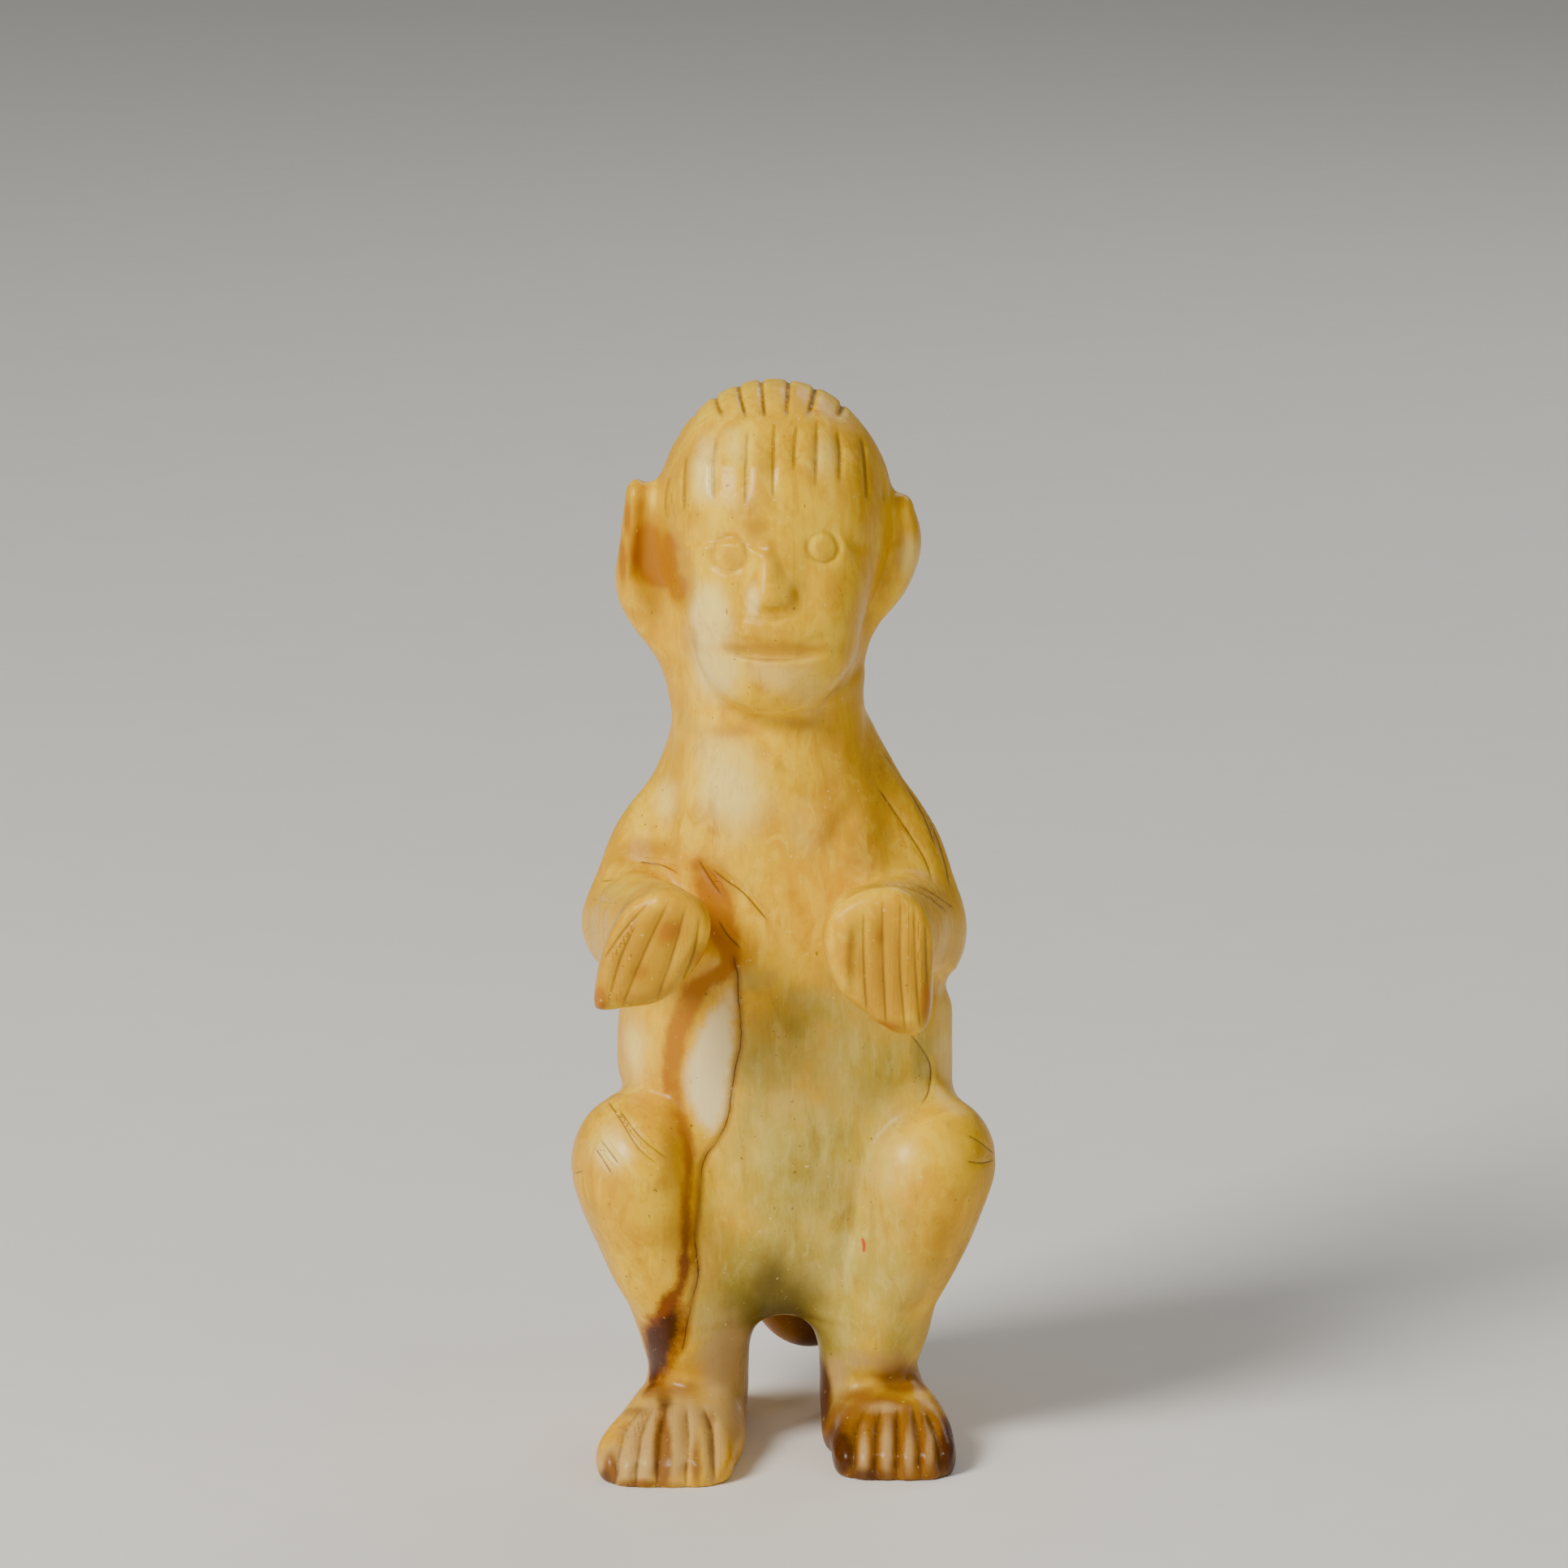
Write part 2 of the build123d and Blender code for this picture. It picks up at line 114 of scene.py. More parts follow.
def smooth_path(stations, steps):
    """Points on a smooth curve through the stations, with their radii carried along."""
    stations = np.array(stations, dtype=float)
    padded = np.vstack([2 * stations[0] - stations[1], stations, 2 * stations[-1] - stations[-2]])
    made = []
    for before, start, end, after in zip(padded, padded[1:], padded[2:], padded[3:]):
        for step in range(steps):
            t = step / steps
            made.append(0.5 * (
                2 * start
                + (end - before) * t
                + (2 * before - 5 * start + 4 * end - after) * t * t
                + (3 * start - before - 3 * end + after) * t ** 3
            ))
    made.append(stations[-1])
    return np.array(made)


def photo_place(points):
    """Where the photograph shows points: pixels across and pixels down."""
    away = points - CAMERA_AIM
    rise, run = math.sin(CAMERA_ELEVATION), math.cos(CAMERA_ELEVATION)
    depth = away[:, 1] * run - away[:, 2] * rise
    size = PIXELS_PER_MM * CAMERA_DISTANCE / (CAMERA_DISTANCE + depth)
    across = PHOTO_MIDDLE + away[:, 0] * size
    down = PHOTO_MIDDLE - (away[:, 1] * rise + away[:, 2] * run) * size
    return across, down


def line_reach(across, down, line):
    """Millimetres to a line drawn on the photograph, signed by its side, and the share along it."""
    line = np.array(line, dtype=float)
    steps = line[1:] - line[:-1]
    lengths = np.hypot(steps[:, 0], steps[:, 1])
    best = np.full(len(across), HUGE)
    signed = np.zeros(len(across))
    along = np.zeros(len(across))
    passed = 0.0
    for start, step, length in zip(line, steps / lengths[:, None], lengths):
        right, below = across - start[0], down - start[1]
        walked = np.clip(right * step[0] + below * step[1], 0, length)
        away = np.hypot(right - walked * step[0], below - walked * step[1])
        nearer = away < best
        best = np.where(nearer, away, best)
        signed = np.where(nearer, np.where(step[0] * below > step[1] * right, away, -away), signed)
        along = np.where(nearer, (passed + walked) / lengths.sum(), along)
        passed += length
    return signed / PIXELS_PER_MM, along


def outline_reach(across, down, outline):
    """Millimetres to a closed outline drawn on the photograph, below zero inside it."""
    outline = np.array(outline, dtype=float)
    best = np.full(len(across), HUGE)
    inside = np.zeros(len(across), dtype=bool)
    for start, end in zip(outline, np.roll(outline, -1, axis=0)):
        step = end - start
        right, below = across - start[0], down - start[1]
        share = np.clip((right * step[0] + below * step[1]) / (step @ step), 0, 1)
        best = np.minimum(best, np.hypot(right - share * step[0], below - share * step[1]))
        if step[1]:
            crossed = (start[1] > down) != (end[1] > down)
            inside ^= crossed & (right < step[0] * below / step[1])
    return np.where(inside, -best, best) / PIXELS_PER_MM


def rounded_outline(outline, steps=4):
    """A closed outline with its corners rounded by a smooth curve through its points."""
    outline = np.array(outline, dtype=float)
    lapped = np.vstack([outline[-1:], outline, outline[:2]])
    return smooth_path(lapped, steps)[steps:-steps - 1]


def egg(points, centre, radii):
    """Distance to an egg shape with half sizes along X, Y and Z."""
    scaled = (points - np.array(centre)) / np.array(radii)
    reach = np.linalg.norm(scaled, axis=1) + TINY
    slope = np.linalg.norm(scaled / np.array(radii), axis=1) + TINY
    return reach * (reach - 1) / slope


def tube(points, stations, steps=9):
    """Distance to a limb through stations of X, Y, Z, side radius and depth radius."""
    path = smooth_path(stations, steps)
    best = np.full(len(points), HUGE)
    for start, end in zip(path, path[1:]):
        line = end[:3] - start[:3]
        share = np.clip((points - start[:3]) @ line / (line @ line), 0, 1)
        away = points - start[:3] - share[:, None] * line
        side = start[3] + share * (end[3] - start[3])
        deep = start[4] + share * (end[4] - start[4])
        across, over = away[:, 0] / side, np.hypot(away[:, 1], away[:, 2]) / deep
        reach = np.hypot(across, over) + TINY
        slope = np.hypot(across / side, over / deep) + TINY
        best = np.minimum(best, reach * (reach - 1) / slope)
    return best


# Nearer the middle of a ring than this share, its own distance is too coarse to be used
RING_CORE_SHARE = 0.3


def stack(height, across, depth, levels, squareness=2.0, samples=160):
    """Distance to a form whose rings are given by level: height, middle, half width, front and back."""
    fine = smooth_path(levels, max(2, samples // len(levels)))
    order = fine[:, 0]
    middle, half_width, front, back = (np.interp(height, order, fine[:, k]) for k in range(1, 5))
    growth = np.gradient(fine[:, 2:5].mean(axis=1), order)
    lean = np.interp(height, order, growth)
    x = across - middle
    deep = np.where(depth < 0, front, back)
    ring = (np.abs(x / half_width) ** squareness + np.abs(depth / deep) ** squareness) ** (1 / squareness)
    side = np.hypot(x, depth) * (1 - 1 / np.maximum(ring, TINY))
    core = ring < RING_CORE_SHARE
    side = np.where(core, -np.minimum(half_width, deep), side) / np.sqrt(1 + lean * lean)
    over = np.maximum(order[0] - height, height - order[-1])
    return np.hypot(np.maximum(side, 0), np.maximum(over, 0)) + np.minimum(np.maximum(side, over), 0)


ADDING_MARGIN = 2.0
LINE_STEPS = 3
GROOVE_REACH = 3
GROOVE_END_SHARE = 0.3
DEPTH_FADE = 1
SWELL_REACH = 2.2
LEDGE_END_SHARE = 0.2
INK_END_SHARE = 0.12
INK_FADE = (0.35, 0.6)


class Stone:
    """Signed distances at a cloud of points, shaped form by form. Below zero is inside the stone."""

    def __init__(self, points):
        self.points = points
        self.across, self.down = photo_place(points)
        self.distance = np.full(len(points), FAR)
        self.incised = np.zeros(len(points))
        self.ink_side = np.full(len(points), FAR)
        self.ink_near = np.zeros(len(points))

    def near(self, low, high):
        inside = np.ones(len(self.points), dtype=bool)
        for axis in range(3):
            inside &= (self.points[:, axis] > low[axis]) & (self.points[:, axis] < high[axis])
        return np.flatnonzero(inside)

    def add(self, form, low, high, blend):
        """Joins a form on, softly."""
        margin = blend + ADDING_MARGIN
        which = self.near(np.array(low) - margin, np.array(high) + margin)
        if len(which):
            made = form(self.points[which])
            self.distance[which] = soft_min(self.distance[which], made, blend)

    def seen(self, low, high, reach, near, far):
        """Points of the skin between two corners on the photograph and two distances behind it."""
        margin = reach * PIXELS_PER_MM
        depth = self.points[:, 1]
        return np.flatnonzero(
            (self.across > low[0] - margin) & (self.across < high[0] + margin)
            & (self.down > low[1] - margin) & (self.down < high[1] + margin)
            & (depth > near) & (depth < far) & (np.abs(self.distance) < SKIN)
        )

    def ink(self, which, away, strength, width):
        """Notes how far points lie from a thin dark line, in half widths of it, and its strength."""
        nearer = np.abs(away) / width < np.abs(self.ink_side[which])
        which, away, strength = which[nearer], away[nearer], strength[nearer]
        self.ink_side[which] = away / width
        self.ink_near[which] = strength * (1 - ease(np.abs(away), *INK_FADE))

    def sink(self, which, amount, depth, fill):
        """Lowers the surface, and notes how full the cut is of dark fill: dirt in most cuts, painted shade
        in the mouth and under the nose.
        """
        self.distance[which] += depth * amount
        self.incised[which] = np.maximum(self.incised[which], fill * amount)

    def groove(self, line, width, depth, depths, taper=0.25, fill=0.0, ink=0.0, ink_width=0.1,
               sharpness=2):
        """Cuts a groove along a line drawn on the photograph, shallower at its ends."""
        line = smooth_path(line, LINE_STEPS)
        which = self.seen(line.min(axis=0), line.max(axis=0), GROOVE_REACH * width, *depths)
        if len(which):
            away, along = line_reach(self.across[which], self.down[which], line)
            from_end = np.minimum(along, 1 - along)
            edge = 1 - ease(self.points[which, 1], depths[1] - DEPTH_FADE, depths[1])
            sunk = np.exp(-np.abs(away / width) ** sharpness) * edge
            sunk = sunk * (taper + (1 - taper) * ease(from_end, 0, GROOVE_END_SHARE))
            self.sink(which, sunk, depth, fill)
            if ink:
                self.ink(which, away, ink * ease(from_end, 0, INK_END_SHARE) * edge, ink_width)

    def ledge(self, line, rise, width, reach, depths):
        """Raises the left of a line, seen walking along it, and sinks the right, fading out by reach."""
        line = smooth_path(line, LINE_STEPS)
        which = self.seen(line.min(axis=0), line.max(axis=0), reach, *depths)
        if len(which):
            away, along = line_reach(self.across[which], self.down[which], line)
            fade = np.clip(1 - (away / reach) ** 2, 0, 1) ** 2
            fade = fade * ease(np.minimum(along, 1 - along), 0, LEDGE_END_SHARE)
            self.distance[which] += rise / 2 * np.tanh(away / width) * fade

    def swell(self, middle, reach, rise, depths):
        """Raises a soft mound round a place on the photograph, or a hollow with a rise below zero."""
        middle, reach = np.array(middle), np.array(reach)
        which = self.seen(middle - SWELL_REACH * reach, middle + SWELL_REACH * reach, 0, *depths)
        if len(which):
            across = (self.across[which] - middle[0]) / reach[0]
            down = (self.down[which] - middle[1]) / reach[1]
            self.distance[which] -= rise * np.exp(-across ** 2 - down ** 2)


def add_egg(stone, centre, radii, blend):
    centre, radii = np.array(centre), np.array(radii)
    stone.add(lambda points: egg(points, centre, radii), centre - radii, centre + radii, blend)


def add_tube(stone, stations, blend):
    places = np.array(stations)
    reach = places[:, 3:].max()
    stone.add(
        lambda points: tube(points, stations),
        places[:, :3].min(axis=0) - reach, places[:, :3].max(axis=0) + reach, blend,
    )


# Levels of the trunk and of the face: height, middle, half width, then front and back from a plane.
# Stations of a limb: X, Y, Z, side radius and depth radius. A blend rounds one form into the next.
TRUNK_PLANE = 1.0
TRUNK_LEVELS = (
    (9.4, 0, 4.4, 3.8, 5.8),
    (10.6, 0, 6.9, 5.3, 7.8),
    (13, 0, 9.1, 6.5, 8.8),
    (17, 0.1, 10.7, 7.6, 10),
    (24, 0.1, 11.6, 8.2, 10.2),
    (30, 0.1, 11.7, 8.3, 9.9),
    (36, 0, 10.9, 7.9, 9.3),
    (42, -0.2, 9.2, 7.3, 8.8),
    (46, -0.6, 7.9, 6.8, 8),
    (50, -0.9, 6.9, 6.2, 7.2),
    (53.5, -1.1, 6.7, 5.7, 6.6),
    (57, -1.3, 7.1, 5.4, 6.8),
    (60, -1.2, 7, 5, 6.8),
    (63.5, -0.8, 6, 4, 6.2),
)


def shape_trunk(stone):
    def trunk(points):
        x, y, z = points.T
        return stack(z, x, y - TRUNK_PLANE, TRUNK_LEVELS, squareness=2.12)

    stone.add(trunk, low=(-14, -12, 8), high=(14, 15, 65), blend=1.0)
    add_egg(stone, centre=(0, 6.4, 17.3), radii=(9.8, 7.1, 6.5), blend=2.4)


# The legs are alike, so their stations are given for the viewer's right and mirrored
THIGH = (
    (7.1, 4.7, 17.4, 4.95, 6.3),
    (8.9, 0.5, 19.3, 4.5, 5.7),
    (9.95, -4.2, 20.8, 4.15, 4.8),
)
SHIN = (
    (9.85, -4.2, 20.4, 4.2, 4.7),
    (9.1, -3.8, 16.4, 4, 4.6),
    (7.3, -2.6, 12.6, 3.95, 4.7),
    (6.3, -1.6, 9.4, 4, 4.6),
    (5.95, -1, 6.8, 3.6, 4.3),
    (5.9, -0.6, 4.6, 3.4, 4.2),
)


def shape_leg(stone, side):
    for stations, blend in ((THIGH, 1.7), (SHIN, 2.6)):
        add_tube(stone, [(side * out, *rest) for out, *rest in stations], blend)


# A foot is a stack lying down: its levels run from the heel to the toes, and its plane is level.
# The left foot is shorter ahead of the ankle. Toes are given by how far out they are and half width.
FOOT_PLANE = 1.1
FOOT_LENGTH = 12.0
FOOT_SHORTENING = {RIGHT: 0.0, LEFT: 1.7}
FOOT_BOXES = {RIGHT: ((-13, -14, -1), (-2, 9, 7)), LEFT: ((2, -14, -1), (13, 9, 7))}
TOES = {RIGHT: (8.1, 4.75), LEFT: (7.65, 4.35)}


def shape_foot(stone, side):
    toes_out, toes_half = TOES[side]
    levels = (
        (-7.3, 5.8, 0.9, 1.2, 1.0),
        (-6.2, 5.8, 2.4, 3.2, 1.8),
        (-3.4, 5.9, 3.2, 4.3, 2.3),
        (3.0, 6.8, 4.1, 4.4, 2.4),
        (6.5, 7.6, toes_half - 0.15, 3.6, 2.4),
        (9.0, toes_out, toes_half, 2.9, 2.4),
        (11.2, toes_out, toes_half - 0.15, 2.1, 2.4),
        (12.6, toes_out, toes_half - 0.9, 1.3, 2.0),
        (13.3, toes_out, toes_half - 2.0, 0.5, 1.0),
    )
    stretch = 1 + FOOT_SHORTENING[side] / FOOT_LENGTH

    def foot(points):
        x, y, z = points.T
        reach = np.where(y < 0, -y * stretch, -y)
        return stack(reach, side * x, FOOT_PLANE - z, levels, squareness=2.4)

    stone.add(foot, *FOOT_BOXES[side], blend=1.0)


ARMS = {
    RIGHT: (
        (-5.6, 2.4, 48.4, 2.2, 2.8),
        (-6.8, 2, 45.2, 2.75, 3.1),
        (-8.9, 1.3, 41.6, 3.4, 3.5),
        (-10.3, 0.2, 37.2, 3.4, 3.8),
    ),
    LEFT: (
        (4.4, 2.4, 48.4, 2.2, 2.8),
        (6.1, 2, 45.2, 2.8, 3.1),
        (7.9, 1.3, 41.6, 3.4, 3.5),
        (9.1, 0.2, 36.6, 3.4, 3.8),
    ),
}
FOREARMS = {
    RIGHT: (
        (-10.4, -0.4, 37, 3.3, 4),
        (-10, -6, 38.2, 3.1, 3.5),
        (-8.4, -13, 39.9, 2.8, 2.9),
    ),
    LEFT: (
        (9.3, -0.4, 36.6, 3.2, 4),
        (7.8, -6, 38, 3.1, 3.5),
        (5.4, -13, 39.6, 2.8, 2.9),
    ),
}


def shape_arm(stone, side):
    add_tube(stone, ARMS[side], blend=1.6)
    add_tube(stone, FOREARMS[side], blend=1.2)


# A paw hangs from its wrist as a thick pebble inside this outline
PAW_OUTLINES = {
    RIGHT: (
        (731, 1228), (739, 1245), (780, 1241), (814, 1234), (845, 1208), (868, 1172), (876, 1140),
        (866, 1113), (843, 1099), (810, 1096), (777, 1110), (755, 1137), (739, 1180),
    ),
    LEFT: (
        (1012, 1150), (1024, 1122), (1050, 1104), (1080, 1095), (1110, 1096), (1134, 1116),
        (1148, 1150), (1149, 1200), (1147, 1240), (1139, 1269), (1118, 1276), (1092, 1268),
        (1066, 1248), (1040, 1224), (1020, 1192),
    ),
}
PAW_MIDDLE = -15.3
PAW_HALF_DEPTH = 2.3
PAW_ROUNDING = 1.3
PAW_THINNING = 0.25
PAW_THINNING_DOWN = (1150, 1260)
PAW_BOXES = {RIGHT: ((-14, -18, 33), (-4, -12, 44)), LEFT: ((2, -18, 33), (11, -12, 44))}


def shape_paw(stone, side):
    outline = rounded_outline(PAW_OUTLINES[side])

    def paw(points):
        across, down = photo_place(points)
        beside = outline_reach(across, down, outline) + PAW_ROUNDING
        thinner = ease(down, *PAW_THINNING_DOWN) * PAW_THINNING
        over = np.abs(points[:, 1] - PAW_MIDDLE) - PAW_HALF_DEPTH + thinner + PAW_ROUNDING
        outside = np.hypot(np.maximum(beside, 0), np.maximum(over, 0))
        return outside + np.minimum(np.maximum(beside, over), 0) - PAW_ROUNDING

    stone.add(paw, *PAW_BOXES[side], blend=0.8)


FACE_MIDDLE = -0.65
FACE_PLANE = -3.0
FACE_LEVELS = (
    (53.1, 0, 1.8, 3.2, 3),
    (53.7, 0, 3.2, 4.1, 3),
    (55, 0.05, 4.5, 4.8, 3),
    (57, 0.1, 5.5, 5.4, 3),
    (60, 0.1, 6.1, 5.7, 3),
    (63.5, 0, 6.4, 5.4, 3),
    (67, 0, 6.4, 4.9, 3),
    (70, 0, 5.6, 3.6, 3),
)
NOSE = (
    (-1.05, -7.8, 64.8, 0.5, 0.6),
    (-1, -8.2, 63.2, 1.1, 0.75),
    (-0.95, -8.5, 61.9, 1.7, 0.85),
)
NOSE_RIDGE = ((-1.05, -8.25, 64.4, 0.35, 0.5), (-1.15, -9.1, 62.1, 0.5, 0.55))


def shape_head(stone):
    def face(points):
        x, y, z = points.T
        return stack(z, x - FACE_MIDDLE, y - FACE_PLANE, FACE_LEVELS, squareness=2.5)

    add_egg(stone, centre=(-0.6, 0.5, 65.35), radii=(8.25, 8.7, 9.85), blend=1.1)
    stone.add(face, low=(-8, -10, 53), high=(7, 1, 71), blend=1.5)
    add_tube(stone, NOSE, blend=0.4)
    add_tube(stone, NOSE_RIDGE, blend=0.7)


EAR_RIMS = {
    RIGHT: (
        (-10.15, 0, 67.1, 0.8, 1.3),
        (-10.5, -0.1, 64.2, 0.75, 1.5),
        (-10.65, -0.1, 61.4, 0.85, 1.5),
        (-9.3, 0.3, 59, 1.3, 1.6),
        (-7.6, 0.8, 56.7, 1.4, 2),
        (-6.3, 1.2, 54.3, 1.5, 2.4),
    ),
    LEFT: (
        (8.3, 0, 65.9, 0.7, 1.3),
        (8.6, -0.1, 64, 0.75, 1.5),
        (7.95, -0.1, 62, 0.85, 1.5),
        (6.5, 0.3, 60.1, 1.15, 1.6),
        (4.95, 0.8, 58, 1.2, 2),
        (4.1, 1.2, 55.5, 1.35, 2.4),
    ),
}
EAR_FLAPS = {
    RIGHT: ((-8.7, 0.4, 62.9), (2.2, 1.5, 5)),
    LEFT: ((6.6, 0.5, 63.2), (2.2, 1.5, 3.8)),
}


def shape_ear(stone, side):
    add_tube(stone, EAR_RIMS[side], blend=1.0)
    add_egg(stone, *EAR_FLAPS[side], blend=1.3)


# The tail drops from the rump, then curls round a middle at X, Y and Z, closer and thinner as it goes
TAIL_DROP = ((0.0, 10.4, 15.6, 2.1, 2.1), (-0.3, 12.1, 10.8, 2.0, 2.0))
CURL_MIDDLE = (2.2, 13.4, 6.6)
CURL_RADIUS = 2.6
CURL_DEGREES = 230
CURL_STEPS = 6
CURL_TAIL_RADIUS = 1.9
CURL_TAPER = 0.6


def shape_tail(stone):
    stations = list(TAIL_DROP)
    across, back, up = CURL_MIDDLE
    for step in range(CURL_STEPS + 1):
        share = step / CURL_STEPS
        turn = math.radians(CURL_DEGREES * share)
        swing = CURL_RADIUS - CURL_TAPER * share
        radius = CURL_TAIL_RADIUS - CURL_TAPER * share
        stations.append((
            across - swing * math.cos(turn), back, up - swing * math.sin(turn), radius, radius
        ))
    add_tube(stone, stations, blend=1.0)


# Nearest and farthest Y at which a line on the photograph reaches the stone
FRINGE_DEPTHS = (-12.0, -1.5)
FACE_DEPTHS = (-12, -4)
MOUTH_DEPTHS = (-12, -5)
JAW_DEPTHS = (-12, 2)
CHIN_DEPTHS = (-12, -2)
BODY_DEPTHS = (-11.5, 4.0)
PAW_DEPTHS = (-20.0, -12.6)
FOOT_DEPTHS = (-16.0, -3.0)
ANKLE_DEPTHS = (-12, 1)

FRINGE = (
    ((826, 585), (820, 610), (822, 640)),
    ((846, 560), (843, 600), (843, 632)),
    ((883, 535), (879, 575), (879, 617)),
    ((921, 528), (919, 575), (919, 622)),
    ((954, 515), (953, 560), (952, 617)),
    ((982, 522), (979, 550), (978, 582)),
    ((1006, 516), (1006, 560), (1004, 603)),
    ((1031, 528), (1035, 560), (1034, 598)),
    ((1061, 536), (1065, 575), (1068, 619)),
    ((1082, 560), (1088, 590), (1090, 622)),
)
HAIR_BASE = 55

# Crown: grooves that fan out from a pivot at X and Z, over the top and down the back
CROWN_PIVOT = (-0.4, 68.0)
CROWN_TURNS = (-66, -51, -36, -22, -9, 6.5, 22, 40, 56, 70)
CROWN_START_DOWN = (516, 506)
CROWN_START = (2.5, 3.5)
CROWN_BACK = 0.5
CROWN_END = ((Y, 7.2, 6.0),)
CROWN_GROOVE = {"width": 0.2, "ink": 0.7, "ink_width": 0.14}

# Nape: two rows of upright grooves, by how far each row is shifted and its fades
NAPE_ROWS = (
    (-0.25, ((Y, 7.0, 7.8), (Z, 66.0, 67.0), (Z, 72.5, 71.5))),
    (0.25, ((Y, 3.0, 4.8), (Z, 57.5, 58.5), (Z, 65.0, 64.0))),
)
NAPE_PITCH = 1.9
NAPE_GROOVES = 7
NAPE_MIDDLE = -0.6
NAPE_SIDES = (5.8, 4.8)
NAPE_LEAN = 0.03
NAPE_TOP = 72
NAPE_GROOVE = {"width": 0.22, "ink": 0.6, "ink_width": 0.13}


def comb(stone, which, away, shown, width, ink, ink_width):
    """Cuts one hair groove by the distance from its line, as strongly as it is shown."""
    stone.sink(which, shown * np.exp(-(away / width) ** 2), depth=0.26, fill=0.6)
    stone.ink(which, np.where(shown > 0, away, FAR), ink * shown, ink_width)


def carve_crown(stone, which):
    x, y, z = stone.points[which].T
    right, up = x - CROWN_PIVOT[0], z - CROWN_PIVOT[1]
    over = np.where(y > CROWN_BACK, 1.0, ease(stone.down[which], *CROWN_START_DOWN))
    over = over * ease(np.hypot(right, up), *CROWN_START) * faded(stone.points[which], CROWN_END)
    for turn in CROWN_TURNS:
        turn = math.radians(turn)
        away = right * math.cos(turn) - up * math.sin(turn)
        ahead = right * math.sin(turn) + up * math.cos(turn) > 0
        comb(stone, which, away, over * ahead, **CROWN_GROOVE)


def carve_nape(stone, which):
    x, _, z = stone.points[which].T
    for shift, fades in NAPE_ROWS:
        shown = ease(np.abs(x - NAPE_MIDDLE), *NAPE_SIDES) * faded(stone.points[which], fades)
        for index in range(NAPE_GROOVES):
            step = index - (NAPE_GROOVES - 1) / 2
            lean = NAPE_LEAN * step * (NAPE_TOP - z)
            away = x - (step + shift) * NAPE_PITCH - NAPE_MIDDLE - lean
            comb(stone, which, away, shown, **NAPE_GROOVE)


def carve_hair(stone):
    for line in FRINGE:
        stone.groove(line, width=0.42, depth=0.08, depths=FRINGE_DEPTHS, fill=0.1)
        stone.groove(
            line, width=0.2, depth=0.13, depths=FRINGE_DEPTHS, taper=0.1, fill=0.4, ink=0.45,
            ink_width=0.14,
        )
    which = np.flatnonzero((stone.points[:, 2] > HAIR_BASE) & (np.abs(stone.distance) < SKIN))
    if len(which):
        carve_crown(stone, which)
        carve_nape(stone, which)


EYES = (((899, 682), 21.5), ((1014, 674), 18.5))
EYE_RING_WIDTH = 0.2
EYEBALL_RISE = 0.14
EYEBALL_REACH = 0.8
EYE_INK = 0.22
EYE_REACH = 3.0
SOCKET_DROP = 4

# Mounds and hollows of the face: beside the nose, round the mouth, on the chin and on a cheek
FACE_SWELLS = (
    ((915, 730), (14, 36), -0.3, MOUTH_DEPTHS),
    ((994, 722), (14, 34), -0.25, MOUTH_DEPTHS),
    ((958, 790), (82, 44), 0.45, MOUTH_DEPTHS),
    ((950, 850), (56, 30), 0.3, FACE_DEPTHS),
    ((870, 760), (30, 50), 0.25, FACE_DEPTHS),
)
BROW = ((838, 673), (866, 672), (890, 668), (911, 669), (932, 678), (950, 688))
OTHER_BROW = ((985, 668), (1010, 652), (1040, 664), (1062, 690))
UPPER_LIP = ((1034, 789), (1000, 790), (958, 790), (915, 789), (880, 787))
MOUTH = ((884, 791), (915, 798), (958, 801), (1000, 799), (1030, 790))
LOWER_LIP = ((905, 808), (940, 813), (980, 812), (1012, 806))
NOSE_FOOT = ((908, 754), (930, 761), (960, 762), (988, 753))
JAW = ((1067, 788), (1058, 824), (1022, 856), (999, 873))
CHIN = ((892, 872), (920, 886), (955, 890), (990, 882))


def carve_eye(stone, across, down, radius):
    stone.swell((across, down + SOCKET_DROP), reach=(36, 30), rise=-0.25, depths=FACE_DEPTHS)
    which = stone.seen((across, down), (across, down), EYE_REACH, *FACE_DEPTHS)
    if len(which):
        away = np.hypot(stone.across[which] - across, stone.down[which] - down) / PIXELS_PER_MM
        from_ring = away - radius / PIXELS_PER_MM
        stone.sink(which, np.exp(-(from_ring / EYE_RING_WIDTH) ** 2), depth=0.22, fill=0.4)
        stone.distance[which] -= EYEBALL_RISE * np.exp(-(away / EYEBALL_REACH) ** 2)
        stone.ink(which, from_ring, np.full(len(which), EYE_INK), width=0.14)


def carve_face(stone):
    for (across, down), radius in EYES:
        carve_eye(stone, across, down, radius)
    stone.ledge(BROW, rise=-0.42, width=0.14, reach=1.6, depths=FACE_DEPTHS)
    stone.ledge(OTHER_BROW, rise=-0.24, width=0.25, reach=1.6, depths=FACE_DEPTHS)
    for swell in FACE_SWELLS:
        stone.swell(*swell)
    # The mouth's fill is painted shade in its recess
    stone.groove(MOUTH, width=0.66, depth=0.6, depths=MOUTH_DEPTHS, taper=0.1, fill=0.25, sharpness=4)
    stone.ledge(UPPER_LIP, rise=0.3, width=0.14, reach=1.0, depths=MOUTH_DEPTHS)
    stone.groove(LOWER_LIP, width=0.18, depth=0.12, depths=MOUTH_DEPTHS, fill=0.5, ink=0.18, ink_width=0.12)
    # Its fill is painted shade under the nose
    stone.groove(NOSE_FOOT, width=0.28, depth=0.2, depths=MOUTH_DEPTHS, fill=0.5)
    stone.groove(JAW, width=0.4, depth=0.2, depths=JAW_DEPTHS, fill=0.5)
    stone.groove(CHIN, width=0.6, depth=0.25, depths=CHIN_DEPTHS, fill=0.1)


